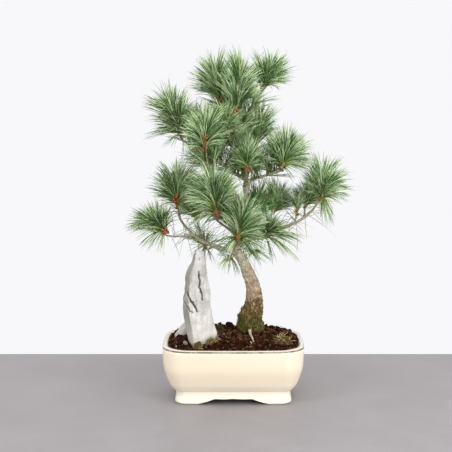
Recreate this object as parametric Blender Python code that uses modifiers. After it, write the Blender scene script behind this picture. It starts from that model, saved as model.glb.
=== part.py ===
"""A five-needle pine bonsai in a glazed pot, with its stones, moss, soil and drainage.

Lengths are in metres, +Z is up, the pot's feet stand on z = 0 and its front faces -Y. Every piece
is drawn from the middle of the pot, and one empty sets the whole plant over the origin.
"""
import math

import bmesh
import bpy
from mathutils import Matrix, Vector

for leftover in list(bpy.data.objects):
    bpy.data.objects.remove(leftover)

MM = 0.001
GAP = 0.3 * MM
PLANT_OFFSET = Vector((-6.5, -9.5, 0.0)) * MM

# The pot
POT_LENGTH = 189 * MM
POT_DEPTH = 145 * MM
POT_HEIGHT = 75.5 * MM
POT_WALL = 9 * MM
POT_FLOOR = 7 * MM
RIM_CORNER = 30 * MM
FOOT_CORNER = 13 * MM
RIM_BOW = 3.5 * MM
FOOT_BOW = 1.5 * MM
BAND_HEIGHT = 9.5 * MM
LIP_RADIUS = 3 * MM
BELLY_INSET = 18 * MM
PLINTH_HEIGHT = 13 * MM
FLOOR_FILLET = 8 * MM
FOOT_RECESS = 9 * MM
FOOT_RING = 9 * MM
ARCH_HEIGHT = 8 * MM
FRONT_ARCH = 98 * MM
SIDE_ARCH = 62 * MM

# Drainage
DRAIN_DIAMETER = 17 * MM
DRAIN_SPACING = 64 * MM
MESH_PITCH = 6 * MM
MESH_CELLS = 5
MESH_BAR = 1.6 * MM
MESH_THICKNESS = 1 * MM
CLIP_WIRE = 1 * MM
CLIP_TAIL = 7 * MM
GRAVEL_DEPTH = 12 * MM

# Soil
SOIL_EDGE_DROP = 2.5 * MM
SOIL_MOUND = 11 * MM
MOUND_FLATNESS = 8
TRUNK_RISE = 17.8 * MM
TRUNK_RISE_REACH = 17 * MM

# Stones, placed from the pot's middle or from its inner wall
STONE_HEIGHT = 122.2 * MM
STONE_WIDTH = 44 * MM
STONE_THICKNESS = 34 * MM
STONE_BURIED = 16 * MM
STONE_PLACE = Vector((-43, -42, 0)) * MM
FLANK_STONE_HEIGHT = 18 * MM
FLANK_STONE_WIDTH = 31 * MM
FLANK_STONE_THICKNESS = 24 * MM
FLANK_STONE_BURIED = 12 * MM
FLANK_STONE_FROM_WALL = 20.5 * MM
PEBBLE_SIZE = Vector((9, 8, 8)) * MM

# Tree
TREE_SIZE = 1.0
TRUNK_PLACE = Vector((24, 4, 0)) * MM
NEEDLE_SPREAD = 1.0
ROOT_REACH = 40 * MM
WOOD_CLEARANCE = 0.5 * MM
TUFT_CLEARANCE = 0.2 * MM

pieces = bpy.data.collections.new("bonsai_in_pot")
cutters = bpy.data.collections.new("cutters")
bpy.context.scene.collection.children.link(pieces)
bpy.context.scene.collection.children.link(cutters)
cutters.hide_render = True

plant = bpy.data.objects.new("plant", None)
plant.location = PLANT_OFFSET
pieces.objects.link(plant)


def new_material(name, colour, roughness):
    """A plain Principled material."""
    material = bpy.data.materials.new(name)
    material.use_nodes = True
    shader = material.node_tree.nodes["Principled BSDF"]
    shader.inputs["Base Color"].default_value = (*colour, 1.0)
    shader.inputs["Roughness"].default_value = roughness
    shader.inputs["Metallic"].default_value = 0.0
    return material


def add_piece(name, mesh, material):
    """Links a mesh as a node of the plant."""
    piece = bpy.data.objects.new(name, mesh)
    piece.parent = plant
    mesh.materials.clear()
    mesh.materials.append(material)
    pieces.objects.link(piece)
    return piece


def add_cutter(name, mesh):
    """Links a mesh that only cuts other pieces."""
    cutter = bpy.data.objects.new(name, mesh)
    cutter.parent = plant
    cutter.hide_render = True
    cutter.display_type = "WIRE"
    cutters.objects.link(cutter)
    return cutter


def boolean(piece, other, operation="DIFFERENCE"):
    """Cuts or joins one piece with another."""
    modifier = piece.modifiers.new(f"{operation.lower()}_{other.name}", "BOOLEAN")
    modifier.operation = operation
    modifier.solver = "EXACT"
    modifier.object = other


def evaluated_mesh(source):
    """The mesh that an object's curve or modifiers give, with doubled points welded."""
    bpy.context.view_layer.update()
    graph = bpy.context.evaluated_depsgraph_get()
    mesh = bpy.data.meshes.new_from_object(source.evaluated_get(graph))
    bm = bmesh.new()
    bm.from_mesh(mesh)
    bmesh.ops.remove_doubles(bm, verts=bm.verts, dist=0.01 * MM)
    bm.to_mesh(mesh)
    bm.free()
    return mesh


def finished_mesh(bm, name):
    """Turns a bmesh into a mesh of triangles that face out, so a Boolean finds every face flat."""
    bmesh.ops.recalc_face_normals(bm, faces=bm.faces)
    bmesh.ops.triangulate(bm, faces=bm.faces)
    mesh = bpy.data.meshes.new(name)
    bm.to_mesh(mesh)
    bm.free()
    return mesh


def loft(name, rings):
    """A closed skin through level rings that all have as many points, with flat ends."""
    bm = bmesh.new()
    rows = [[bm.verts.new(point) for point in ring] for ring in rings]
    count = len(rows[0])
    for low, high in zip(rows, rows[1:]):
        for i in range(count):
            j = (i + 1) % count
            bm.faces.new((low[i], low[j], high[j], high[i]))
    bm.faces.new(rows[0])
    bm.faces.new(rows[-1])
    return finished_mesh(bm, name)


# ---- Pot ----

CORNER_STEPS = 5
SIDE_STEPS = 3
FLOOR_TOP = FOOT_RECESS + POT_FLOOR
BELLY_TOP = POT_HEIGHT - BAND_HEIGHT

# Profiles are (height, distance) points from the bottom up. The belly's are worked out from how far
# it has drawn in, against how far down it the point is.
BELLY_CURVE = ((1.0, 1.0), (0.8, 0.9), (0.5, 0.74), (0.28, 0.55), (0.1, 0.34), (0.03, 0.07), (0, 0))
belly_profile = [
    (BELLY_TOP - drop * (BELLY_TOP - PLINTH_HEIGHT), drawn * BELLY_INSET) for drawn, drop in BELLY_CURVE
]
foot_profile = [
    (0.0, BELLY_INSET + 0.6 * MM),
    (1.2 * MM, BELLY_INSET - 0.8 * MM),
    (3 * MM, BELLY_INSET - 1.2 * MM),
    (7 * MM, BELLY_INSET - 0.6 * MM),
    (10 * MM, BELLY_INSET + 0.4 * MM),
]
lip_profile = [
    (POT_HEIGHT - LIP_RADIUS, 0.0),
    (POT_HEIGHT - 0.3 * LIP_RADIUS, 0.3 * LIP_RADIUS),
    (POT_HEIGHT, LIP_RADIUS),
]
outer_profile = foot_profile + belly_profile + lip_profile
corner_profile = [(PLINTH_HEIGHT, FOOT_CORNER), (BELLY_TOP, RIM_CORNER), (POT_HEIGHT, RIM_CORNER)]
bow_profile = [(PLINTH_HEIGHT, FOOT_BOW), (BELLY_TOP, RIM_BOW), (POT_HEIGHT, RIM_BOW)]
# How deep the hollow's skin lies behind the outer one.
hollow_profile = [
    (FLOOR_TOP, POT_WALL + FLOOR_FILLET),
    (FLOOR_TOP + 0.13 * FLOOR_FILLET, POT_WALL + 0.5 * FLOOR_FILLET),
    (FLOOR_TOP + 0.5 * FLOOR_FILLET, POT_WALL + 0.1 * FLOOR_FILLET),
]
hollow_profile += [(z, POT_WALL) for z, _ in belly_profile if z > FLOOR_TOP + 0.6 * FLOOR_FILLET]
hollow_profile += [
    (POT_HEIGHT - LIP_RADIUS, POT_WALL),
    (POT_HEIGHT - 0.3 * LIP_RADIUS, POT_WALL - 0.6 * LIP_RADIUS),
    (POT_HEIGHT, POT_WALL - 2 * LIP_RADIUS),
]


def along_profile(profile, z):
    """What a profile gives at one height, with its end values past its ends."""
    if z <= profile[0][0]:
        return profile[0][1]
    for (low, at_low), (high, at_high) in zip(profile, profile[1:]):
        if z <= high:
            return at_low + (at_high - at_low) * (z - low) / (high - low)
    return profile[-1][1]


def pot_section(z, depth=0.0):
    """A level ring at a depth behind the pot's outer skin: round corners, sides that bow out."""
    inset = along_profile(outer_profile, z) + depth
    corner = along_profile(corner_profile, z) - depth / 2
    side_bow = along_profile(bow_profile, z)
    flat_x = POT_LENGTH / 2 - inset - side_bow
    flat_y = POT_DEPTH / 2 - inset - side_bow
    arcs = []
    for quarter, (side_x, side_y) in enumerate(((1, 1), (-1, 1), (-1, -1), (1, -1))):
        centre = Vector((side_x * (flat_x - corner), side_y * (flat_y - corner), z))
        turns = [math.pi / 2 * (quarter + step / CORNER_STEPS) for step in range(CORNER_STEPS + 1)]
        arcs.append([centre + corner * Vector((math.cos(t), math.sin(t), 0)) for t in turns])
    ring = []
    for arc, following in zip(arcs, arcs[1:] + arcs[:1]):
        ring += arc
        ring += [arc[-1].lerp(following[0], step / SIDE_STEPS) for step in range(1, SIDE_STEPS)]
    bowed = []
    for point in ring:
        across = point.x / flat_x
        along = point.y / flat_y
        bow = Vector((across * (1 - along**2), along * (1 - across**2), 0)) * side_bow
        bowed.append(point + bow)
    return bowed


glaze = new_material("cream_glaze", (0.90, 0.80, 0.64), 0.25)
pot_rings = [pot_section(z) for z, _ in outer_profile]
pot_rings += [pot_section(z, depth) for z, depth in reversed(hollow_profile)]
pot = add_piece("pot", loft("pot", pot_rings), glaze)

recess_rings = []
for z in (-FOOT_RECESS, FOOT_RECESS):
    ring = pot_section(PLINTH_HEIGHT, FOOT_RING)
    recess_rings.append([Vector((point.x, point.y, z)) for point in ring])
foot_recess = add_cutter("foot_recess", loft("foot_recess", recess_rings))
boolean(pot, foot_recess)


def foot_arch(name, span, turn):
    """A cloud-shaped arch cut right through under two opposite sides, with a soft point midway."""
    outline = [(0.5, -1.0), (0.5, 0.0), (0.42, 0.32), (0.33, 0.55), (0.27, 0.9), (0.1, 0.88)]
    points = [(share * span, rise * ARCH_HEIGHT) for share, rise in outline]
    points += [(0.0, ARCH_HEIGHT)] + [(-x, y) for x, y in reversed(points)]
    curve = bpy.data.curves.new(name, "CURVE")
    curve.dimensions = "2D"
    curve.fill_mode = "BOTH"
    curve.extrude = POT_LENGTH
    spline = curve.splines.new("POLY")
    spline.points.add(len(points) - 1)
    for target, (x, y) in zip(spline.points, points):
        target.co = (x, y, 0, 1)
    spline.use_cyclic_u = True
    drawn = bpy.data.objects.new(name, curve)
    cutters.objects.link(drawn)
    mesh = evaluated_mesh(drawn)
    bpy.data.objects.remove(drawn)
    mesh.transform(Matrix.Rotation(turn, 4, "Z") @ Matrix.Rotation(math.pi / 2, 4, "X"))
    return add_cutter(name, mesh)


boolean(pot, foot_arch("front_arch", FRONT_ARCH, 0.0))
boolean(pot, foot_arch("side_arch", SIDE_ARCH, math.pi / 2))

# ---- Drainage: a hole, a plastic mesh over it and a wire clip at each side ----

plastic = new_material("black_plastic", (0.03, 0.03, 0.03), 0.5)
wire = new_material("aluminium_wire", (0.65, 0.62, 0.58), 0.35)


def tube(name, route, radii, bevel_resolution):
    """A closed tube through the points of a route, with its own radius at each."""
    curve = bpy.data.curves.new(name, "CURVE")
    curve.dimensions = "3D"
    curve.bevel_depth = 1.0
    curve.bevel_resolution = bevel_resolution
    curve.use_fill_caps = True
    spline = curve.splines.new("POLY")
    spline.points.add(len(route) - 1)
    for target, point, radius in zip(spline.points, route, radii):
        target.co = (*point, 1)
        target.radius = radius
    drawn = bpy.data.objects.new(name, curve)
    cutters.objects.link(drawn)
    mesh = evaluated_mesh(drawn)
    bpy.data.objects.remove(drawn)
    return mesh


def add_screen(side_name, x):
    """The square mesh, its cells opened by insetting each face of a grid."""
    bm = bmesh.new()
    half = MESH_CELLS * MESH_PITCH / 2
    bmesh.ops.create_grid(bm, x_segments=MESH_CELLS, y_segments=MESH_CELLS, size=half)
    cells = bmesh.ops.inset_individual(bm, faces=bm.faces[:], thickness=MESH_BAR / 2)
    holes = [face for face in bm.faces if face not in set(cells["faces"])]
    bmesh.ops.delete(bm, geom=holes, context="FACES")
    bmesh.ops.translate(bm, verts=bm.verts, vec=(x, 0, FLOOR_TOP + GAP))
    mesh = bpy.data.meshes.new("drainage_screen")
    bm.to_mesh(mesh)
    bm.free()
    screen = add_piece(f"drainage_screen_{side_name}", mesh, plastic)
    solidify = screen.modifiers.new("sheet", "SOLIDIFY")
    solidify.thickness = MESH_THICKNESS
    solidify.offset = 1.0


def add_clip(side_name, x):
    """A staple over the mesh, down through the drain hole and bent out under the floor."""
    radius = CLIP_WIRE / 2
    top = FLOOR_TOP + MESH_THICKNESS + 2 * GAP + radius
    under = FOOT_RECESS - GAP - radius
    half = [
        (0, top),
        (MESH_PITCH - CLIP_WIRE, top),
        (MESH_PITCH, top - CLIP_WIRE),
        (MESH_PITCH, under + CLIP_WIRE),
        (MESH_PITCH + CLIP_WIRE, under),
        (MESH_PITCH + CLIP_TAIL, under),
    ]
    route = [Vector((x - across, 0, z)) for across, z in reversed(half[1:])]
    route += [Vector((x + across, 0, z)) for across, z in half]
    mesh = tube("screen_clip", route, [radius] * len(route), 2)
    add_piece(f"screen_clip_{side_name}", mesh, wire)


def box_mesh(name, low, high):
    """A box between two corners."""
    bm = bmesh.new()
    bmesh.ops.create_cube(bm, size=1.0)
    bmesh.ops.scale(bm, verts=bm.verts, vec=high - low)
    bmesh.ops.translate(bm, verts=bm.verts, vec=(low + high) / 2)
    return finished_mesh(bm, name)


def filling(name, low, high, cover):
    """A mass that fills the pot's hollow between two heights, topped by the rings of its cover."""
    levels = [low] + [z for z, _ in hollow_profile if low < z < high] + [high]
    rings = [pot_section(z, along_profile(hollow_profile, z) + GAP) for z in levels]
    return loft(name, rings + cover)


gravel_low = FLOOR_TOP + GAP
gravel_top = FLOOR_TOP + GRAVEL_DEPTH
gravel_stuff = new_material("gravel", (0.30, 0.24, 0.19), 0.9)
gravel = add_piece("drainage_gravel", filling("drainage_gravel", gravel_low, gravel_top, []), gravel_stuff)

recess_top = FLOOR_TOP + MESH_THICKNESS + CLIP_WIRE + 3 * GAP
recess_half = MESH_CELLS * MESH_PITCH / 2 + GAP
for side_name, side in (("left", -1), ("right", 1)):
    drain_x = side * DRAIN_SPACING / 2
    bm = bmesh.new()
    bmesh.ops.create_cone(
        bm,
        cap_ends=True,
        segments=24,
        radius1=DRAIN_DIAMETER / 2,
        radius2=DRAIN_DIAMETER / 2,
        depth=4 * POT_FLOOR,
    )
    bmesh.ops.translate(bm, verts=bm.verts, vec=(drain_x, 0, FOOT_RECESS + POT_FLOOR / 2))
    boolean(pot, add_cutter(f"drain_{side_name}", finished_mesh(bm, "drain")))
    add_screen(side_name, drain_x)
    add_clip(side_name, drain_x)
    low = Vector((drain_x - recess_half, -recess_half, 0))
    high = Vector((drain_x + recess_half, recess_half, recess_top))
    boolean(gravel, add_cutter(f"screen_room_{side_name}", box_mesh("screen_room", low, high)))

# ---- Soil ----

soil_edge = POT_HEIGHT - SOIL_EDGE_DROP
soil_rim = pot_section(soil_edge, POT_WALL + GAP)
soil_half_x = POT_LENGTH / 2 - POT_WALL - GAP
soil_half_y = POT_DEPTH / 2 - POT_WALL - GAP


def ground_height(x, y, share):
    """Height of the soil over a point that lies a share of the way from the pot's middle to its wall."""
    from_trunk = (Vector((x, y, 0)) - TRUNK_PLACE).length
    rise = TRUNK_RISE * math.exp(-((from_trunk / TRUNK_RISE_REACH) ** 2))
    return soil_edge + SOIL_MOUND * (1 - share**MOUND_FLATNESS) + rise * (1 - share)


def ground_at(x, y):
    """Height of the soil's surface over a point."""
    share = max(abs(x) / soil_half_x, abs(y) / soil_half_y)
    return ground_height(x, y, min(share, 1.0))


mound = []
for share in (0.96, 0.89, 0.79, 0.66, 0.5, 0.33, 0.15):
    spots = [point * share for point in soil_rim]
    mound.append([Vector((spot.x, spot.y, ground_height(spot.x, spot.y, share))) for spot in spots])
soil_stuff = new_material("bonsai_soil", (0.030, 0.014, 0.008), 0.95)
soil = add_piece("soil", filling("soil", gravel_top + GAP, soil_edge, mound), soil_stuff)

# ---- Stones ----

stone_stuff = new_material("grey_stone", (0.55, 0.51, 0.46), 0.85)

# Levels of the standing stone: height as a share of it, then left and right edges as shares of its
# width and front and back edges as shares of its thickness, all from its foot's middle.
STONE_LEVELS = (
    (0.00, -0.27, 0.25, -0.35, 0.30),
    (0.16, -0.41, 0.50, -0.50, 0.50),
    (0.30, -0.48, 0.37, -0.46, 0.42),
    (0.43, -0.52, 0.30, -0.42, 0.36),
    (0.53, -0.52, 0.31, -0.38, 0.33),
    (0.61, -0.50, 0.31, -0.34, 0.30),
    (0.70, -0.46, 0.25, -0.28, 0.28),
    (0.80, -0.39, 0.19, -0.22, 0.26),
    (0.87, -0.28, 0.16, -0.17, 0.25),
    (0.93, -0.23, 0.13, -0.12, 0.24),
    (0.98, -0.16, 0.04, -0.06, 0.21),
    (1.00, -0.13, -0.07, -0.01, 0.17),
)
# Levels of the low stone beside it, a wedge that rises to the right.
FLANK_LEVELS = (
    (0.00, -0.30, 0.35, -0.40, 0.40),
    (0.30, -0.50, 0.50, -0.50, 0.50),
    (0.45, -0.42, 0.50, -0.46, 0.50),
    (0.70, -0.22, 0.45, -0.30, 0.42),
    (0.90, 0.00, 0.36, -0.12, 0.32),
    (1.00, 0.10, 0.26, 0.00, 0.20),
)
# A stone's section, as shares of its width and thickness: a ridge at the front left, from which
# one face runs back to the left and a broader one to the right.
STONE_SECTION = (
    (0.0, 0.62),
    (0.07, 0.28),
    (0.23, 0.0),
    (0.42, 0.07),
    (0.74, 0.3),
    (1.0, 0.62),
    (0.93, 0.86),
    (0.64, 1.0),
    (0.32, 0.97),
    (0.08, 0.84),
)


def stone_mesh(name, levels, place, size, buried, grow):
    """A standing stone through its levels, with its foot in the soil."""
    foot_z = ground_at(place.x, place.y) - buried
    rings = []
    for share, left, right, front, back in levels:
        low = Vector((left * size.x - grow, front * size.y - grow))
        high = Vector((right * size.x + grow, back * size.y + grow))
        z = foot_z + share * (size.z + buried) + grow * (2 * share - 1)
        ring = []
        for across, deep in STONE_SECTION:
            x = low.x + across * (high.x - low.x)
            y = low.y + deep * (high.y - low.y)
            ring.append(place + Vector((x, y, z)))
        rings.append(ring)
    return loft(name, rings)


def boulder_mesh(name, centre, size, grow, sides):
    """A rounded stone or cushion: a squashed sphere with gently uneven faces."""
    bm = bmesh.new()
    bmesh.ops.create_uvsphere(bm, u_segments=sides, v_segments=sides // 2 + 2, radius=1.0)
    half = size / 2 + Vector((grow, grow, grow))
    for vert in bm.verts:
        uneven = 1 + 0.06 * math.sin(3 * vert.co.x + 5 * vert.co.z + 2) * math.cos(4 * vert.co.y)
        vert.co = centre + Vector((half.x * vert.co.x, half.y * vert.co.y, half.z * vert.co.z)) * uneven
    return finished_mesh(bm, name)


standing_size = Vector((STONE_WIDTH, STONE_THICKNESS, STONE_HEIGHT))
flank_size = Vector((FLANK_STONE_WIDTH, FLANK_STONE_THICKNESS, FLANK_STONE_HEIGHT))
flank_place = Vector((FLANK_STONE_FROM_WALL + POT_WALL - POT_LENGTH / 2, 3 * MM, 0))
pebble_centre = STONE_PLACE + Vector((-19.5, -10, 0)) * MM
pebble_centre.z = ground_at(pebble_centre.x, pebble_centre.y)


def standing_stone_mesh(grow):
    """The tall stone."""
    return stone_mesh("standing_stone", STONE_LEVELS, STONE_PLACE, standing_size, STONE_BURIED, grow)


def flank_stone_mesh(grow):
    """The low stone behind it at the pot's left end."""
    return stone_mesh("flank_stone", FLANK_LEVELS, flank_place, flank_size, FLANK_STONE_BURIED, grow)


def pebble_mesh(grow):
    """The small stone at its foot."""
    return boulder_mesh("pebble", pebble_centre, PEBBLE_SIZE, grow, 8)


stones = {
    "standing_stone": standing_stone_mesh,
    "flank_stone": flank_stone_mesh,
    "pebble": pebble_mesh,
}
standing_room = None
for name, make in stones.items():
    add_piece(name, make(0.0), stone_stuff)
    room = add_cutter(f"{name}_room", make(GAP))
    boolean(soil, room)
    if name == "standing_stone":
        standing_room = room

# ---- Moss cushions, half sunk in the soil ----

moss_stuff = new_material("moss", (0.08, 0.10, 0.02), 0.95)
inner_front = -(POT_DEPTH / 2 - POT_WALL)
inner_right = POT_LENGTH / 2 - POT_WALL
# The middle of each cushion on the soil, and its size.
MOSS = {
    "moss_front": (STONE_PLACE + Vector((-3, -15, 0)) * MM, Vector((9, 8, 9)) * MM),
    "moss_side": (STONE_PLACE + Vector((12.5, -6, 0)) * MM, Vector((15, 9, 10)) * MM),
    "moss_lump": (STONE_PLACE + Vector((25.5, 41, 0)) * MM, Vector((9, 9, 30)) * MM),
    "moss_right": (Vector((inner_right - 20 * MM, inner_front + 21 * MM, 0)), Vector((18, 18, 11)) * MM),
}
for name, (place, size) in MOSS.items():
    centre = Vector((place.x, place.y, ground_at(place.x, place.y)))
    cushion = add_piece(name, boulder_mesh(name, centre, size, 0.0, 10), moss_stuff)
    boolean(cushion, standing_room)
    boolean(soil, add_cutter(f"{name}_room", boulder_mesh(name, centre, size, GAP, 10)))

# ---- Wood: one piece from its roots to its twigs ----

bark = new_material("pine_bark", (0.30, 0.22, 0.15), 0.9)
trunk_ground = ground_at(TRUNK_PLACE.x, TRUNK_PLACE.y)


def on_tree(x, y, z):
    """A point of the tree, given in millimetres from the trunk's foot at the drawn size."""
    return TRUNK_PLACE + Vector((0, 0, trunk_ground)) + Vector((x, y, z)) * MM * TREE_SIZE


def smooth_route(points, radii, steps):
    """Points and radii along one smooth curve through the given points."""
    ends = [points[0] * 2 - points[1]] + points + [points[-1] * 2 - points[-2]]
    route = []
    widths = []
    for i in range(len(points) - 1):
        before, start, end, after = ends[i : i + 4]
        for step in range(steps):
            t = step / steps
            bend = (2 * before - 5 * start + 4 * end - after) * t * t
            bend += (3 * start - before - 3 * end + after) * t**3
            route.append((2 * start + (end - before) * t + bend) / 2)
            widths.append(radii[i] + (radii[i + 1] - radii[i]) * t)
    return route + [points[-1]], widths + [radii[-1]]


# Each row of a branch is x, y, z and radius in millimetres, counted from the trunk's foot.
TRUNK = (
    (0, 0, -34, 13),
    (0, 0, -12, 19),
    (0, 0, -3, 17.5),
    (1, 0, 9, 14.5),
    (4, 0, 25, 12.8),
    (4, -1, 41, 11),
    (0, -2, 58, 9.7),
    (-6, -4, 74, 8.8),
    (-14, -6, 91, 8.2),
    (-23, -7, 103, 7.4),
    (-19, -4, 120, 6.3),
    (-12, 0, 146, 5.4),
    (-8, 4, 171, 4.8),
    (-5, 6, 187, 4.4),
    (-8, 6, 198, 4),
    (-16, 4, 220, 3.5),
    (-20, 2, 246, 3),
    (-21, -3, 264, 2.6),
    (-22, -13, 275, 2.4),
    (-23, -20, 282, 2.2),
)
LIMBS = {
    "left": (
        (-21, -6, 101, 5.6),
        (-34, -9, 101, 5),
        (-50, -11, 107, 4.3),
        (-65, -12, 113, 3.8),
        (-76, -11, 121, 3.3),
        (-89, -7, 134, 2.7),
        (-96, -5, 146, 2.4),
        (-96, -4, 157, 2.2),
    ),
    "right": (
        (-19, -5, 105, 5),
        (-11, -2, 108, 4.6),
        (-2, 0, 113, 4.2),
        (24, 2, 125, 3.7),
        (48, 2, 131, 3.3),
        (69, 2, 142, 2.9),
        (82, 1, 154, 2.5),
        (89, 0, 166, 2.3),
    ),
    "upper_right": (
        (-6, 5, 188, 3.8),
        (-2, 0, 193, 3.4),
        (21, -6, 201, 3),
        (34, -9, 205, 2.7),
        (43, -12, 208, 2.3),
    ),
    "upper_left": (
        (-8, 5, 194, 3.6),
        (-26, 0, 205, 3.2),
        (-40, -6, 216, 3),
        (-62, -5, 229, 2.7),
        (-82, -7, 241, 2.4),
        (-94, -9, 250, 2.2),
    ),
    "front_high": (
        (-13, 1, 146, 3.6),
        (-30, -10, 160, 3.3),
        (-49, -24, 183, 3),
        (-55, -32, 207, 2.6),
        (-59, -38, 226, 2.4),
        (-59, -40, 234, 2.2),
    ),
    "front_low": (
        (-22, -6, 106, 4),
        (-21, -27, 111, 3.3),
        (-19, -58, 117, 2.3),
    ),
}
# Twigs that leave the trunk or a limb, each to a tuft of its own.
TWIGS = {
    "left_out": ((-76, -11, 120, 2.6), (-89, -13, 120, 2.4), (-105, -14, 120, 2.3), (-114, -16, 122, 2.1)),
    "left_back": ((-63, -12, 112, 3), (-69, 14, 124, 2.4), (-74, 39, 134, 2.1)),
    "left_low": ((-50, -11, 107, 3), (-57, 12, 99, 2.4), (-63, 33, 95, 2.1)),
    "right_thin": ((56, 2, 134, 2.4), (60, 10, 141, 2.1), (60, 18, 146, 1.9)),
    "right_front": ((6, 0, 116, 2.8), (12, -11, 116, 2.4), (15, -23, 117, 2.1)),
    "right_back": ((24, 2, 125, 2.8), (27, 24, 133, 2.4), (28, 42, 141, 2.1)),
    "right_far": ((69, 2, 141, 2.6), (72, 20, 146, 2.3), (73, 34, 151, 2.1)),
    "middle_dark": ((-18, -3, 127, 3), (-6, 4, 131, 2.5), (5, 8, 135, 2.1)),
    "middle_low": ((-20, -5, 110, 3), (-14, 14, 108, 2.5), (-11, 30, 108, 2.1)),
    "middle_back": ((-20, -4, 118, 3), (-25, 28, 122, 2.5), (-31, 54, 130, 2.1)),
    "front_left": ((-20, -4, 120, 3.4), (-32, -26, 133, 2.9), (-44, -49, 145, 2.4), (-48, -58, 151, 2.2)),
    "front_droop": ((-20, -30, 112, 2), (-24, -40, 106, 1.8), (-27, -47, 102, 1.6)),
    "front_spur": ((-20, -36, 113, 2), (-12, -44, 110, 1.8), (-6, -49, 107, 1.6)),
    "heart": ((-5, 5, 187, 2.8), (-6, -6, 196, 2.4), (-7, -16, 206, 2.1)),
    "back_high": ((-9, 6, 200, 3), (-4, 18, 215, 2.5), (4, 32, 237, 2.2)),
    "back_left": ((-50, -5, 222, 2.6), (-63, 18, 232, 2.3), (-73, 34, 242, 2.1)),
    "heart_high": ((-19, 3, 232, 2.8), (-26, -8, 244, 2.4), (-33, -17, 254, 2.1)),
    "back_middle": ((-16, 4, 219, 2.8), (-19, 21, 223, 2.4), (-20, 38, 229, 2.2)),
    "crown_left": ((-20, 1, 254, 2.8), (-28, 8, 272, 2.5), (-38, 17, 294, 2.2)),
    "crown_right": ((-20, 0, 256, 2.8), (-6, 2, 280, 2.5), (10, 4, 305, 2.3), (14, 4, 311, 2.2)),
    "crown_back": ((-20, 2, 246, 2.8), (-26, 24, 259, 2.4), (-31, 46, 273, 2.1)),
    "rear_left": ((-9, 3, 164, 3), (-32, 24, 181, 2.5), (-54, 50, 200, 2.2)),
    "rear_middle": ((-8, 4, 171, 3), (-10, 34, 181, 2.5), (-7, 64, 192, 2.2)),
    "rear_right": ((24, -6, 202, 2.4), (31, 16, 206, 2.3), (37, 38, 210, 2.1)),
}
# Each tuft: the limb or twig it ends, the way it points, how far it reaches and how wide it spreads.
TUFTS = {
    "crown_front": ("trunk", (11, -8, 80), 76, 53),
    "left_top": ("left", (-5, -8, 57), 58, 59),
    "right_top": ("right", (10, 2, 52), 56, 62),
    "upper_right": ("upper_right", (9, -12, 47), 51, 64),
    "upper_left": ("upper_left", (-20, -7, 71), 70, 59),
    "front_high": ("front_high", (2, -22, 56), 58, 60),
    "front_low": ("front_low", (9, -22, 61), 64, 66),
    "left_out": ("left_out", (-23, -8, 30), 50, 64),
    "left_back": ("left_back", (-16, 34, 34), 52, 52),
    "left_low": ("left_low", (-6, 24, 18), 42, 44),
    "right_thin": ("right_thin", (5, 8, 34), 35, 26),
    "right_front": ("right_front", (18, -20, 30), 44, 42),
    "right_back": ("right_back", (14, 34, 34), 52, 52),
    "right_far": ("right_far", (14, 30, 26), 48, 46),
    "middle_dark": ("middle_dark", (8, 2, 56), 55, 44),
    "middle_low": ("middle_low", (4, 26, 26), 42, 44),
    "middle_back": ("middle_back", (-6, 40, 30), 52, 54),
    "front_left": ("front_left", (-4, -20, 59), 64, 66),
    "front_droop": ("front_droop", (-5, -18, -21), 26, 24),
    "front_spur": ("front_spur", (18, -16, -10), 26, 24),
    "heart": ("heart", (2, -20, 39), 42, 32),
    "back_high": ("back_high", (14, 14, 54), 56, 42),
    "back_left": ("back_left", (-6, 18, 48), 50, 48),
    "heart_high": ("heart_high", (2, -16, 40), 42, 36),
    "back_middle": ("back_middle", (2, 26, 44), 48, 46),
    "crown_left": ("crown_left", (-17, 6, 62), 63, 48),
    "crown_right": ("crown_right", (22, 4, 45), 50, 52),
    "crown_back": ("crown_back", (-6, 32, 42), 52, 50),
    "rear_left": ("rear_left", (-16, 36, 32), 54, 54),
    "rear_middle": ("rear_middle", (4, 40, 30), 52, 56),
    "rear_right": ("rear_right", (12, 32, 28), 48, 48),
}
# Roots: the way each leaves the trunk in degrees, and how deep its end lies, in millimetres.
BURIED_ROOTS = ((165, 34), (110, 42), (40, 40), (-10, 34), (-130, 38))
SURFACE_ROOT = (
    (-1, -12, 1, 4.2),
    (-2, -24, -7, 3),
    (0, -34, -10.5, 2.6),
    (2, -44, -13.5, 2.4),
    (3, -50, -20, 2),
)

branch_routes = {}


def draw_branch(name, rows, steps):
    """Works out a branch's smooth route from its rows of points and radii."""
    points = [on_tree(x, y, z) for x, y, z, _ in rows]
    radii = [row[3] * MM * TREE_SIZE for row in rows]
    branch_routes[name] = smooth_route(points, radii, steps)


draw_branch("trunk", TRUNK, 2)
for name, rows in LIMBS.items():
    draw_branch(name, rows, 2)
for name, rows in TWIGS.items():
    draw_branch(name, rows, 2)
draw_branch("surface_root", SURFACE_ROOT, 2)
trunk_foot = on_tree(0, 0, 0)
for number, (heading, depth) in enumerate(BURIED_ROOTS):
    out = Vector((math.cos(math.radians(heading)), math.sin(math.radians(heading)), 0))
    points = [
        trunk_foot + out * 6 * MM + Vector((0, 0, -14)) * MM,
        trunk_foot + out * 0.55 * ROOT_REACH + Vector((0, 0, -0.6 * depth)) * MM,
        trunk_foot + out * ROOT_REACH + Vector((0, 0, -depth)) * MM,
    ]
    branch_routes[f"root_{number}"] = smooth_route(points, [7 * MM, 4 * MM, 2 * MM], 2)

BEVEL_RESOLUTION = {"trunk": 4, "left": 2, "right": 2}


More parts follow.
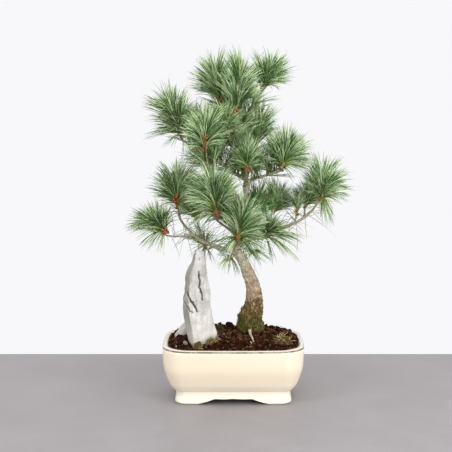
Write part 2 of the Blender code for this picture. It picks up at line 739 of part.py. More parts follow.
def wood(name, grow, wanted):
    """The wanted branches joined into one solid, each grown outwards by the same amount."""
    whole = None
    for branch in wanted:
        route, radii = branch_routes[branch]
        sides = BEVEL_RESOLUTION.get(branch, 1)
        mesh = tube(branch, route, [radius + grow for radius in radii], sides)
        if whole is None:
            whole = add_cutter(name, mesh)
            continue
        addition = add_cutter(branch, mesh)
        boolean(whole, addition, "UNION")
        joined = evaluated_mesh(whole)
        whole.modifiers.clear()
        whole.data = joined
        bpy.data.objects.remove(addition)
    return whole


underground = ["trunk", "surface_root"] + [name for name in branch_routes if name.startswith("root_")]
root_room = wood("root_room", GAP, underground)
boolean(soil, root_room)
drawn_wood = wood("drawn_wood", 0.0, list(branch_routes))
add_piece("tree_wood", drawn_wood.data, bark)
bpy.data.objects.remove(drawn_wood)

# ---- Needle tufts: a plain brush-shaped solid for each, parted from its neighbours by flat cuts ----

needles = new_material("pine_needles", (0.14, 0.24, 0.10), 0.6)
# The brush's outline: share of half its spread, share of its reach.
BRUSH = ((0.12, 0.0), (0.62, 0.14), (0.95, 0.38), (1.0, 0.6), (0.8, 0.84), (0.35, 0.98), (0.0, 1.0))
BRUSH_SIDES = 10
CORE_SHARE = 0.7


def nearest_points(a, b, c, d):
    """The nearest points of the segments a-b and c-d."""
    best = None
    along = b - a
    other = d - c
    slack = along.length_squared * other.length_squared - along.dot(other) ** 2
    shares = [0.0, 1.0]
    if slack > 1e-18:
        across = along.dot(other) * other.dot(a - c) - other.length_squared * along.dot(a - c)
        shares.append(min(max(across / slack, 0.0), 1.0))
    shares += [min(max((end - a).dot(along) / along.length_squared, 0.0), 1.0) for end in (c, d)]
    for share in shares:
        here = a + along * share
        there_share = min(max((here - c).dot(other) / other.length_squared, 0.0), 1.0)
        there = c + other * there_share
        if best is None or (here - there).length < (best[0] - best[1]).length:
            best = (here, there)
    return best


def trim(bm, foot, normal):
    """Cuts away what lies behind a plane, and closes the cut."""
    everything = bm.verts[:] + bm.edges[:] + bm.faces[:]
    bmesh.ops.bisect_plane(
        bm, geom=everything, dist=0.01 * MM, plane_co=foot, plane_no=-normal, clear_outer=True
    )
    rim = [edge for edge in bm.edges if edge.is_boundary]
    if rim:
        bmesh.ops.holes_fill(bm, edges=rim, sides=0)
        bmesh.ops.remove_doubles(bm, verts=bm.verts, dist=0.02 * MM)


cores = {}
for name, (bearer, lean, reach, spread) in TUFTS.items():
    route, radii = branch_routes[bearer]
    heading = Vector(lean).normalized()
    base = route[-1] + heading * (radii[-1] + WOOD_CLEARANCE)
    scale = MM * TREE_SIZE
    cores[name] = (base, heading, reach * scale, spread * scale * NEEDLE_SPREAD / 2)

wood_spans = []
for route, radii in branch_routes.values():
    for i in range(len(route) - 1):
        wood_spans.append((route[i], route[i + 1], max(radii[i], radii[i + 1])))

for name, (base, heading, reach, half_spread) in cores.items():
    bm = bmesh.new()
    profile = [bm.verts.new((share * half_spread, 0, rise * reach)) for share, rise in BRUSH]
    floor = bm.verts.new((0, 0, 0))
    edges = [bm.edges.new(pair) for pair in zip([floor] + profile, profile)]
    bmesh.ops.spin(
        bm,
        geom=[floor] + profile + edges,
        cent=(0, 0, 0),
        axis=(0, 0, 1),
        angle=2 * math.pi,
        steps=BRUSH_SIDES,
        use_merge=True,
    )
    bmesh.ops.remove_doubles(bm, verts=bm.verts, dist=0.01 * MM)
    stand = Matrix.Translation(base) @ heading.to_track_quat("Z", "Y").to_matrix().to_4x4()
    bmesh.ops.transform(bm, matrix=stand, verts=bm.verts)
    core_end = base + heading * reach * CORE_SHARE
    middle = base + heading * reach / 2
    ball = max(reach / 2, half_spread) * 1.2
    for start, end, radius in wood_spans:
        near = nearest_points(base, core_end, start, end)
        if (near[1] - middle).length < ball + radius:
            away = (near[0] - near[1]).normalized()
            trim(bm, near[1] + away * (radius + WOOD_CLEARANCE), away)
    for other, (other_base, other_heading, other_reach, other_half) in cores.items():
        other_end = other_base + other_heading * other_reach * CORE_SHARE
        other_middle = other_base + other_heading * other_reach / 2
        other_ball = max(other_reach / 2, other_half) * 1.2
        if other == name or (other_middle - middle).length > ball + other_ball:
            continue
        near = nearest_points(base, core_end, other_base, other_end)
        away = (near[0] - near[1]).normalized()
        trim(bm, (near[0] + near[1]) / 2 + away * TUFT_CLEARANCE, away)
    add_piece(f"tuft_{name}", finished_mesh(bm, f"tuft_{name}"), needles)

for piece in pieces.objects:
    if piece.type == "MESH":
        piece.data.shade_smooth()
        piece.data.set_sharp_from_angle(angle=math.radians(35))
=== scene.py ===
"""The looks of a five-needle pine bonsai in its glazed pot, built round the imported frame.

Lengths are in metres in the frame's own axes: +Z is up and the front of the pot faces -Y.
"""

import math
import random

import bmesh
import bpy
import numpy as np
from mathutils import Matrix, Vector, noise
from mathutils.bvhtree import BVHTree


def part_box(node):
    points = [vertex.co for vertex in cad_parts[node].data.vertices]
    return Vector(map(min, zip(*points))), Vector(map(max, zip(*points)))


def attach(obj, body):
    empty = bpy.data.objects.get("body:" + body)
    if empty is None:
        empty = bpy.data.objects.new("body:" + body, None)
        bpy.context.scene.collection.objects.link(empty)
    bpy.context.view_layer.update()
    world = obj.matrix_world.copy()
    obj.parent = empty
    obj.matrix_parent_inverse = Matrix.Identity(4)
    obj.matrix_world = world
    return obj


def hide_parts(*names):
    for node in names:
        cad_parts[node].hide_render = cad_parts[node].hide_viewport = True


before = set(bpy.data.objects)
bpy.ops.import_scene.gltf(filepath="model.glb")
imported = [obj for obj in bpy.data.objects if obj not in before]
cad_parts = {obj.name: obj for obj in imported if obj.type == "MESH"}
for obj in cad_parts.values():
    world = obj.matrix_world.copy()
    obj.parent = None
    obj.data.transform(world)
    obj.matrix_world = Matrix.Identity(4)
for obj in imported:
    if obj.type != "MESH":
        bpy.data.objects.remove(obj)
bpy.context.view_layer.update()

# ---- Pot ----
# A slip-cast stoneware pot with a rounded belly on a low plinth with four cloud-shaped feet. It is
# dipped in a cream glaze, which has run thin along the lip so that the clay shows as a fine line.

MM = 0.001
POT_LOW, POT_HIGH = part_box("pot")
POT_MIDDLE = (POT_LOW + POT_HIGH) / 2
POT_TOP = POT_HIGH.z
POT_WALL = 9 * MM
RIM_CORNER = 30 * MM
FOOT_CORNER = 13 * MM
RIM_BOW = 3.5 * MM
FOOT_BOW = 1.5 * MM
PLINTH_TOP = 17.6 * MM
FLOOR_TOP = 16 * MM
FOOT_RECESS = 9 * MM
FOOT_RING = 27 * MM
ARCH_RISE = 8 * MM
DRAIN_RADIUS = 8.5 * MM
DRAIN_REACH = 32 * MM
FRONT_ARCH_SPAN = 98 * MM
SIDE_ARCH_SPAN = 62 * MM
FOOT_EDGE = 0.9 * MM
EDGE_ANGLE = math.radians(50)
CORNER_POINTS = 10
SIDE_POINTS = 8
# Half of the cloud-shaped top of a foot arch: share of its span, and share of its rise.
CLOUD = ((0.42, 0.3), (0.34, 0.58), (0.27, 0.88), (0.24, 0.95), (0.12, 0.92), (0, 1.0))
# The outer wall from the feet up, and then the inner wall down: height, and distance in from the
# rim's outline, in millimetres.
PLINTH_WALL = ((0, 18.9), (0.5, 17.8), (2, 16.9), (4, 16.8), (7, 17.4), (11, 18.2), (15, 17.9), (17, 17.4))
BELLY_WALL = ((17.7, 17.5), (18.6, 15.4), (22, 12.3), (26.8, 9), (36.9, 5), (48, 1.8), (62.3, 0.4), (70, 0))
LIP_WALL = ((72.6, 0.1), (74, 0.5), (74.9, 1.3), (75.4, 2.4), (75.5, 3.6), (75.2, 5.2), (74.2, 7.2))
LIP_WALL += ((72.5, 8.6),)
HOLLOW_WALL = ((68, 9), (60, 9.5), (48, 10.8), (36.9, 14), (26.8, 18), (21, 21), (17.5, 25), (16, 31))


def smooth_rows(rows, steps):
    """Rows of numbers along one smooth curve through the given rows."""
    rows = [np.array(row, float) for row in rows]
    ends = [2 * rows[0] - rows[1], *rows, 2 * rows[-1] - rows[-2]]
    made = []
    for before, start, end, after in zip(ends, ends[1:], ends[2:], ends[3:]):
        for step in range(steps):
            t = step / steps
            bend = (2 * before - 5 * start + 4 * end - after) * t**2
            bend += (3 * start - before - 3 * end + after) * t**3
            made.append(((2 * start + (end - before) * t + bend) / 2).tolist())
    return made + [rows[-1].tolist()]


def pot_ring(height, inset):
    """A level ring of the pot: round corners, with sides that bow out between them."""
    share = min(max((height - PLINTH_TOP) / (POT_TOP - PLINTH_TOP), 0.0), 1.0)
    wall_depth = max(inset - POT_WALL, 0.0) if height > PLINTH_TOP else 0.0
    corner = FOOT_CORNER + (RIM_CORNER - FOOT_CORNER) * share**0.6 - wall_depth / 3
    side_bow = FOOT_BOW + (RIM_BOW - FOOT_BOW) * share
    flat_x = (POT_HIGH.x - POT_LOW.x) / 2 - inset - side_bow
    flat_y = (POT_HIGH.y - POT_LOW.y) / 2 - inset - side_bow
    arcs = []
    for quarter, (side_x, side_y) in enumerate(((1, 1), (-1, 1), (-1, -1), (1, -1))):
        centre = Vector((side_x * (flat_x - corner), side_y * (flat_y - corner), height))
        turns = [math.pi / 2 * (quarter + step / CORNER_POINTS) for step in range(CORNER_POINTS + 1)]
        arcs.append([centre + corner * Vector((math.cos(t), math.sin(t), 0)) for t in turns])
    ring = []
    for arc, following in zip(arcs, arcs[1:] + arcs[:1]):
        ring += arc
        ring += [arc[-1].lerp(following[0], step / SIDE_POINTS) for step in range(1, SIDE_POINTS)]
    for point in ring:
        across = point.x / flat_x
        along = point.y / flat_y
        point.x += across * (1 - along**2) * side_bow + POT_MIDDLE.x
        point.y += along * (1 - across**2) * side_bow + POT_MIDDLE.y
    return ring


def loft(rings):
    """A bmesh whose first ring is extruded through all the others, closed with a face at both ends."""
    bm = bmesh.new()
    place = bm.verts.layers.int.new("place")
    verts = bmesh.ops.create_circle(bm, segments=len(rings[0]), radius=1.0)["verts"]
    for number, vert in enumerate(verts):
        vert[place] = number
        vert.co = rings[0][number]
    edges = bm.edges[:]
    bmesh.ops.contextual_create(bm, geom=edges)
    for ring in rings[1:]:
        made = bmesh.ops.extrude_edge_only(bm, edges=edges)["geom"]
        for vert in made:
            if isinstance(vert, bmesh.types.BMVert):
                vert.co = ring[vert[place]]
        edges = [edge for edge in made if isinstance(edge, bmesh.types.BMEdge)]
    bmesh.ops.contextual_create(bm, geom=edges)
    bmesh.ops.recalc_face_normals(bm, faces=bm.faces)
    return bm


def to_mesh(bm, name):
    """Turns a bmesh into a smooth-shaded mesh."""
    mesh = bpy.data.meshes.new(name)
    bm.to_mesh(mesh)
    bm.free()
    mesh.shade_smooth()
    return mesh


def to_piece(mesh, name, *materials):
    """Stands a mesh in the scene with its materials."""
    piece = bpy.data.objects.new(name, mesh)
    bpy.context.scene.collection.objects.link(piece)
    mesh.materials.clear()
    for material in materials:
        mesh.materials.append(material)
    return piece


def with_modifiers(mesh, *stack):
    """The mesh that a stack of modifiers makes of another, each given by its type and its values."""
    carrier = bpy.data.objects.new("carrier", mesh)
    bpy.context.scene.collection.objects.link(carrier)
    for kind, values in stack:
        modifier = carrier.modifiers.new(kind, kind)
        for key, value in values.items():
            setattr(modifier, key, value)
    graph = bpy.context.evaluated_depsgraph_get()
    made = bpy.data.meshes.new_from_object(carrier.evaluated_get(graph))
    bpy.data.objects.remove(carrier)
    return made


def cut_out(mesh, *cutters):
    """The mesh with the room of each cutter taken out of it."""
    tools = [to_piece(to_mesh(cutter, "cutter"), "cutter") for cutter in cutters]
    cuts = [("BOOLEAN", {"operation": "DIFFERENCE", "object": tool}) for tool in tools]
    made = with_modifiers(mesh, *cuts)
    for tool in tools:
        bpy.data.objects.remove(tool)
    return made


def foot_arch(span, turn):
    """A long bar with a cloud-shaped top, which opens the plinth under two opposite sides."""
    half = [(0.5 * span, -1.5 * ARCH_RISE), (0.5 * span, 0.0)]
    half += [(share * span, rise * ARCH_RISE) for share, rise in smooth_rows(CLOUD, 3)]
    outline = half + [(-x, z) for x, z in reversed(half[:-1])]
    reach = POT_HIGH.x - POT_LOW.x
    bm = loft([[Vector((x, y, z)) for x, z in outline] for y in (-reach, reach)])
    middle = Matrix.Translation((POT_MIDDLE.x, POT_MIDDLE.y, 0))
    bmesh.ops.transform(bm, matrix=middle @ Matrix.Rotation(turn, 4, "Z"), verts=bm.verts)
    return bm


def add_node(tree, kind, values, **settings):
    """A node with its settings, whose inputs are given as values or as the sockets that feed them."""
    node = tree.nodes.new("ShaderNode" + kind)
    for key, value in settings.items():
        setattr(node, key, value)
    for socket, value in values.items():
        if isinstance(value, bpy.types.NodeSocket):
            tree.links.new(value, node.inputs[socket])
        else:
            node.inputs[socket].default_value = value
    return node


def math_node(tree, operation, *values):
    """The result of one sum on numbers or sockets."""
    return add_node(tree, "Math", dict(enumerate(values)), operation=operation).outputs[0]


def partly(tree, mask, share):
    """A mask or a number times a share."""
    return math_node(tree, "MULTIPLY", mask, share)


def tone(red, green, blue):
    """A colour for a shader, from the eight-bit values that a paint chart gives."""
    return tuple((channel / 255) ** 2.2 for channel in (red, green, blue)) + (1.0,)


def blend_tones(tree, mask, low, high):
    """One colour where the mask is 0 and another where it is 1."""
    mixed = add_node(tree, "Mix", {"Factor": mask}, data_type="RGBA")
    for socket, value in ((mixed.inputs[6], low), (mixed.inputs[7], high)):
        if isinstance(value, bpy.types.NodeSocket):
            tree.links.new(value, socket)
        else:
            socket.default_value = value
    return mixed.outputs[2]


def ramp_mask(tree, value, start, end):
    """0 up to the start, 1 past the end, and a soft step between them."""
    values = {"Value": value, "From Min": start, "From Max": end}
    return add_node(tree, "MapRange", values, interpolation_type="SMOOTHSTEP").outputs["Result"]


def new_group(name, inputs, outputs):
    """An empty shader node group with named inputs and outputs, and its input and output nodes."""
    group = bpy.data.node_groups.new(name, "ShaderNodeTree")
    for direction, sockets in (("INPUT", inputs), ("OUTPUT", outputs)):
        for label, kind in sockets.items():
            group.interface.new_socket(label, in_out=direction, socket_type="NodeSocket" + kind)
    return group, group.nodes.new("NodeGroupInput"), group.nodes.new("NodeGroupOutput")


# Mottle: a soft uneven mask from two sizes of noise, for glaze, stone, bark, soil and moss alike.
mottle, mottle_in, mottle_out = new_group(
    "mottle",
    {"Place": "Vector", "Patches per Metre": "Float", "Softness": "Float"},
    {"Mask": "Float", "Height": "Float"},
)
spots, patches, softness = mottle_in.outputs[:3]
fine_patches = partly(mottle, patches, 3.7)
broad_noise = add_node(mottle, "TexNoise", {"Vector": spots, "Scale": patches, "Detail": 4.0})
fine_noise = add_node(mottle, "TexNoise", {"Vector": spots, "Scale": fine_patches, "Detail": 5.0})
mottle_sum = partly(mottle, fine_noise.outputs["Fac"], 0.4)
mottle_sum = math_node(mottle, "MULTIPLY_ADD", broad_noise.outputs["Fac"], 0.6, mottle_sum)
mottle_low = math_node(mottle, "SUBTRACT", 0.5, softness)
mottle_high = math_node(mottle, "ADD", 0.5, softness)
mottle.links.new(ramp_mask(mottle, mottle_sum, mottle_low, mottle_high), mottle_out.inputs["Mask"])
mottle.links.new(mottle_sum, mottle_out.inputs["Height"])


def add_mottle(tree, place, patches, softness):
    """A mottle group at its own scale. It gives a mask and a height."""
    node = tree.nodes.new("ShaderNodeGroup")
    node.node_tree = mottle
    tree.links.new(place, node.inputs["Place"])
    node.inputs["Patches per Metre"].default_value = patches
    node.inputs["Softness"].default_value = softness
    return node.outputs["Mask"], node.outputs["Height"]


def new_finish(name, **settings):
    """A Principled material: the material, its tree, its shader and its Object coordinates."""
    material = bpy.data.materials.new(name)
    material.use_nodes = True
    tree = material.node_tree
    shader = tree.nodes["Principled BSDF"]
    for key, value in settings.items():
        shader.inputs[key.replace("_", " ")].default_value = value
    place = add_node(tree, "TexCoord", {}).outputs["Object"]
    return material, tree, shader, place


def height_of(tree, place):
    """How high a place lies, for bands of colour that follow the height."""
    return add_node(tree, "SeparateXYZ", {"Vector": place}).outputs["Z"]


def facing_of(tree):
    """The sockets X, Y and Z of the way a surface faces."""
    normal = add_node(tree, "NewGeometry", {}).outputs["Normal"]
    return add_node(tree, "SeparateXYZ", {"Vector": normal}).outputs


def carried(tree, name):
    """What an attribute of the piece's points says, such as each strand's own tint."""
    return add_node(tree, "Attribute", {}, attribute_name=name).outputs["Fac"]


def set_look(tree, shader, colour, relief, depth, strength=1.0):
    """Gives a finish its colour, and a relief as deep as the depth in metres."""
    tree.links.new(colour, shader.inputs["Base Color"])
    bump = add_node(tree, "Bump", {"Height": relief, "Distance": depth, "Strength": strength})
    tree.links.new(bump.outputs["Normal"], shader.inputs["Normal"])


def mottled_finish(name, patches, softness, low, high, depth, **settings):
    """A simple material of two tones in patches, with a grain as deep as the depth in metres."""
    material, tree, shader, place = new_finish(name, **settings)
    mask, grain = add_mottle(tree, place, patches, softness)
    set_look(tree, shader, blend_tones(tree, mask, low, high), grain, depth)
    return material


LIP_LINE = POT_TOP - 1.9 * MM
glaze, tree, shader, place = new_finish("cream_glaze", Coat_Weight=0.5, Coat_Roughness=0.12, IOR=1.5)
height = height_of(tree, place)
patches, swell = add_mottle(tree, place, 16.0, 0.3)
specks, _ = add_mottle(tree, place, 420.0, 0.02)
colour = blend_tones(tree, patches, tone(242, 227, 200), tone(243, 228, 202))
# Painted light: the lower belly and the plinth are lightened, standing in for light from below on the same
# glaze.
painted_light_low_band = ramp_mask(tree, height, 34 * MM, 17 * MM)
colour = blend_tones(tree, partly(tree, painted_light_low_band, 0.95), colour, tone(254, 246, 224))
painted_light_plinth_band = ramp_mask(tree, height, PLINTH_TOP + 0.4 * MM, PLINTH_TOP - 1 * MM)
colour = blend_tones(tree, partly(tree, painted_light_plinth_band, 0.5), colour, tone(252, 242, 220))
off_groove = math_node(tree, "ABSOLUTE", math_node(tree, "SUBTRACT", height, PLINTH_TOP + 0.2 * MM))
groove = ramp_mask(tree, off_groove, 1.3 * MM, 0.2 * MM)
colour = blend_tones(tree, partly(tree, groove, 0.3), colour, tone(206, 188, 158))
rim_band = ramp_mask(tree, height, LIP_LINE, POT_TOP - 0.8 * MM)
colour = blend_tones(tree, partly(tree, rim_band, 0.85), colour, tone(206, 198, 186))
breaks, _ = add_mottle(tree, place, 60.0, 0.05)
off_line = math_node(tree, "ABSOLUTE", math_node(tree, "SUBTRACT", height, LIP_LINE))
lip_line = ramp_mask(tree, off_line, 1.3 * MM, 0.55 * MM)
lip_line = math_node(tree, "MULTIPLY", lip_line, math_node(tree, "MULTIPLY_ADD", breaks, 0.25, 0.75))
colour = blend_tones(tree, lip_line, colour, tone(92, 74, 60))
under = ramp_mask(tree, facing_of(tree)["Z"], -0.6, -0.95)
bare_clay = math_node(tree, "MULTIPLY", under, ramp_mask(tree, height, 12 * MM, 10 * MM))
colour = blend_tones(tree, bare_clay, colour, tone(150, 116, 88))
shine = math_node(tree, "MULTIPLY_ADD", patches, 0.02, 0.24)
shine = math_node(tree, "MULTIPLY_ADD", lip_line, 0.3, shine)
shine = math_node(tree, "MULTIPLY_ADD", bare_clay, 0.6, shine)
tree.links.new(shine, shader.inputs["Roughness"])
set_look(tree, shader, colour, math_node(tree, "MULTIPLY_ADD", specks, 0.05, swell), 0.25 * MM, 0.5)

wall_rows = smooth_rows(PLINTH_WALL, 3) + smooth_rows(BELLY_WALL, 4)
wall_rows += smooth_rows(LIP_WALL, 3) + smooth_rows(HOLLOW_WALL, 2)
pot_body = to_mesh(loft([pot_ring(row[0] * MM, row[1] * MM) for row in wall_rows]), "pot_body")
recess_rings = []
for level in (-FOOT_RECESS, FOOT_RECESS):
    recess_rings.append([Vector((spot.x, spot.y, level)) for spot in pot_ring(PLINTH_TOP, FOOT_RING)])
drains = []
for side in (-1, 1):
    drain = bmesh.new()
    bmesh.ops.create_cone(
        drain, cap_ends=True, segments=40, radius1=DRAIN_RADIUS, radius2=DRAIN_RADIUS, depth=4 * FLOOR_TOP
    )
    bmesh.ops.translate(drain, verts=drain.verts, vec=(POT_MIDDLE.x + side * DRAIN_REACH, POT_MIDDLE.y, 0))
    drains.append(drain)
front_arch = foot_arch(FRONT_ARCH_SPAN, 0.0)
side_arch = foot_arch(SIDE_ARCH_SPAN, math.pi / 2)
pot_body = cut_out(pot_body, loft(recess_rings), front_arch, side_arch, *drains)
rounding = {"width": FOOT_EDGE, "segments": 2, "limit_method": "ANGLE", "angle_limit": EDGE_ANGLE}
pot_body = with_modifiers(pot_body, ("BEVEL", rounding))
pot_body.shade_smooth()
pot_body.set_sharp_from_angle(angle=EDGE_ANGLE)
pot = to_piece(pot_body, "glazed_pot", glaze)
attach(pot, "root")
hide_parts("pot")

# ---- Drainage ----
# A square of black plastic mesh lies over each drain hole, held by an aluminium wire staple that is
# bent out under the floor. Coarse crushed lava covers the floor under the soil.

plastic = mottled_finish(
    "black_mesh_plastic", 300.0, 0.12, tone(24, 24, 25), tone(58, 52, 46), 0.1 * MM, Roughness=0.5
)

wire, tree, shader, place = new_finish("aluminium_wire", Metallic=0.9)
scuffs, _ = add_mottle(tree, place, 500.0, 0.1)
colour = blend_tones(tree, scuffs, tone(150, 138, 124), tone(196, 190, 182))
tree.links.new(colour, shader.inputs["Base Color"])
tree.links.new(math_node(tree, "MULTIPLY_ADD", scuffs, 0.25, 0.25), shader.inputs["Roughness"])

gravel, tree, shader, place = new_finish("crushed_lava", Roughness=0.9)
pebbles = add_node(tree, "TexVoronoi", {"Vector": place, "Scale": 220.0})
patches, _ = add_mottle(tree, place, 180.0, 0.1)
colour = blend_tones(tree, pebbles.outputs["Distance"], tone(126, 92, 70), tone(52, 38, 30))
colour = blend_tones(tree, patches, colour, tone(112, 104, 96))
set_look(tree, shader, colour, math_node(tree, "SUBTRACT", 1.0, pebbles.outputs["Distance"]), 2 * MM)

for cad_node, material in (
    ("drainage_screen_left", plastic),
    ("drainage_screen_right", plastic),
    ("screen_clip_left", wire),
    ("screen_clip_right", wire),
    ("drainage_gravel", gravel),
):
    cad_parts[cad_node].data.materials.clear()
    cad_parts[cad_node].data.materials.append(material)

# ---- Soil ----
# Dark, moist potting mix mounded from the rim to the trunk: a crumbly mass with loose grains, short
# root fibres, bark chips and a few white perlite grains lying on it.

SOIL_VOXEL = 1.3 * MM
SOIL_EDGE = POT_TOP - 6 * MM
LOOSE_GRAINS = 4200
FIBRES = 300
PERLITE_GRAINS = 16
SEED = 11
draw = random.Random(SEED)
noise.seed_set(SEED)


def cad_copy(*names):
    """A merged copy of CAD nodes as one bmesh."""
    bm = bmesh.new()
    for name in names:
        bm.from_mesh(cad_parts[name].data)
    bmesh.ops.remove_doubles(bm, verts=bm.verts, dist=0.005 * MM)
    return bm


def remeshed(bm, voxel, rounds):
    """An even, smoothed bmesh of the same solid."""
    mesh = with_modifiers(to_mesh(bm, "solid"), ("REMESH", {"mode": "VOXEL", "voxel_size": voxel}))
    made = bmesh.new()
    made.from_mesh(mesh)
    for _ in range(rounds):
        axes = {"use_axis_x": True, "use_axis_y": True, "use_axis_z": True}
        bmesh.ops.smooth_vert(made, verts=made.verts, factor=0.5, **axes)
    made.normal_update()
    return made


def raise_surface(bm, relief):
    """Moves each point along its normal by what the relief function says of it."""
    moves = [relief(vert) for vert in bm.verts]
    for vert, move in zip(bm.verts, moves):
        vert.co += vert.normal * move
    bm.normal_update()


def crumbs(vert):
    """Lumps of soil of two sizes, only where it lies open."""
    if vert.co.z < SOIL_EDGE or vert.normal.z < 0.2:
        return 0.0
    clod = 0.45 - noise.voronoi(vert.co * 105)[0][0]
    fine = noise.noise(vert.co * 420)
    return (4.6 * clod + 1.1 * fine) * MM


soil_mix, tree, shader, place = new_finish("moist_potting_mix", Roughness=0.95, Specular_IOR_Level=0.1)
tint = carried(tree, "tint")
clods, lumps = add_mottle(tree, place, 260.0, 0.08)
warm, _ = add_mottle(tree, place, 45.0, 0.12)
colour = blend_tones(tree, clods, tone(8, 3, 1), tone(52, 29, 15))
colour = blend_tones(tree, partly(tree, warm, 0.4), colour, tone(46, 26, 13))
colour = blend_tones(tree, partly(tree, tint, 0.8), colour, tone(118, 80, 54))
set_look(tree, shader, colour, lumps, 1.6 * MM)

soil_bm = remeshed(cad_copy("soil"), SOIL_VOXEL, 1)
raise_surface(soil_bm, crumbs)
soil_tree = BVHTree.FromBMesh(soil_bm)
soil = to_piece(to_mesh(soil_bm, "soil_mass"), "soil_mass", soil_mix)
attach(soil, "root")
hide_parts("soil")

above_soil = cad_copy("standing_stone", "flank_stone", "pebble", "tree_wood")
above_tree = BVHTree.FromBMesh(above_soil)
above_soil.free()


def open_ground(x, y):
    """The point and normal of the bare soil under a spot, or nothing where something covers it."""
    start = Vector((x, y, POT_TOP + 45 * MM))
    down = Vector((0, 0, -1))
    spot, normal, _, _ = soil_tree.ray_cast(start, down)
    if spot is None or spot.z < SOIL_EDGE or normal.z < 0.3:
        return None
    cover = above_tree.ray_cast(start, down)[0]
    if cover is not None and cover.z > spot.z:
        return None
    return spot, normal


def repeated(master, count):
    """A mesh that holds many copies of another, one after the other and all in one place."""
    whole = bmesh.new()
    block = master
    while count:
        if count % 2:
            whole.from_mesh(block)
        count //= 2
        double = bmesh.new()
        double.from_mesh(block)
        double.from_mesh(block)
        block = to_mesh(double, "block")
    return to_mesh(whole, "copies")


def points_of(mesh):
    """The places of a mesh's points, a row for each."""
    points = np.empty(len(mesh.vertices) * 3, np.float32)
    mesh.vertices.foreach_get("co", points)
    return points.reshape(-1, 3)


def stamped(name, masters, stamps):
    """A mesh of moved copies of a few masters, dealt out in turn. Each stamp is a matrix and a tint."""
    whole = bmesh.new()
    points = []
    tints = []
    for number, master in enumerate(masters):
        dealt = stamps[number :: len(masters)]
        whole.from_mesh(repeated(master, len(dealt)))
        moves = np.array([matrix for matrix, _ in dealt])
        shape = points_of(master)[None]
        points.append((shape @ moves[:, :3, :3].transpose(0, 2, 1) + moves[:, None, :3, 3]).reshape(-1, 3))
        tints.append(np.repeat([tint for _, tint in dealt], shape.shape[1]))
    mesh = to_mesh(whole, name)
    mesh.vertices.foreach_set("co", np.concatenate(points).astype(np.float32).ravel())
    tint = mesh.attributes.new("tint", "FLOAT", "POINT")
    tint.data.foreach_set("value", np.concatenate(tints).astype(np.float32))
    mesh.update()
    return mesh


def any_way():
    """A vector of a random length that has no preferred direction."""
    return Vector((draw.gauss(0, 1), draw.gauss(0, 1), draw.gauss(0, 1)))


def random_turn():
    """A turn that has no preferred direction."""
    axis = any_way().normalized()
    return Matrix.Rotation(draw.uniform(0, 2 * math.pi), 4, axis)


grain_masters = []
for number in range(4):
    bm = bmesh.new()
    bmesh.ops.create_icosphere(bm, subdivisions=1, radius=1.0)
    for vert in bm.verts:
        vert.co *= 1 + 0.45 * noise.noise(vert.co * 1.7 + Vector((7 * number, 0, 0)))
    grain_masters.append(to_mesh(bm, "grain"))


def scatter(count, low, high, place_one):
    """Tries random spots over the pot until the wanted number lie on open ground."""
    done = 0
    while done < count:
        x = POT_MIDDLE.x + draw.uniform(low.x, high.x)
        y = POT_MIDDLE.y + draw.uniform(low.y, high.y)
        found = open_ground(x, y)
        if found:
            place_one(*found)
            done += 1


soil_reach = Vector((POT_HIGH.x - POT_LOW.x, POT_HIGH.y - POT_LOW.y)) / 2 - Vector((POT_WALL, POT_WALL))
grain_stamps = []


def lay_grain(spot, normal):
    """One loose grain, half sunk."""
    size = draw.lognormvariate(0.15, 0.5) * MM
    stretch = Matrix.Diagonal((size, size * draw.uniform(0.6, 1), size * draw.uniform(0.5, 0.9), 1))
    matrix = Matrix.Translation(spot + normal * size * draw.uniform(-0.1, 0.7)) @ random_turn() @ stretch
    grain_stamps.append((matrix, draw.random() ** 3))


scatter(LOOSE_GRAINS, -soil_reach, soil_reach, lay_grain)
grains_mesh = stamped("loose_grains", grain_masters, grain_stamps)
grains_mesh.shade_flat()
grains = to_piece(grains_mesh, "loose_grains", soil_mix)
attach(grains, "root")


def strand_mesh(sides, rings):
    """A straight tapered strand along +Z, one unit long and one unit across, to be bent later."""
    bm = bmesh.new()
    verts = bmesh.ops.create_circle(bm, segments=sides, radius=0.5)["verts"]
    edges = bm.edges[:]
    bmesh.ops.contextual_create(bm, geom=edges)
    for ring in range(1, rings):
        made = bmesh.ops.extrude_edge_only(bm, edges=edges)["geom"]
        verts = [item for item in made if isinstance(item, bmesh.types.BMVert)]
        edges = [item for item in made if isinstance(item, bmesh.types.BMEdge)]
        bmesh.ops.translate(bm, verts=verts, vec=(0, 0, 1 / rings))
    made = bmesh.ops.extrude_edge_only(bm, edges=edges)["geom"]
    verts = [item for item in made if isinstance(item, bmesh.types.BMVert)]
    bmesh.ops.translate(bm, verts=verts, vec=(0, 0, 1 / rings))
    bmesh.ops.pointmerge(bm, verts=verts, merge_co=(0, 0, 1))
    bmesh.ops.recalc_face_normals(bm, faces=bm.faces)
    return to_mesh(bm, "strand")


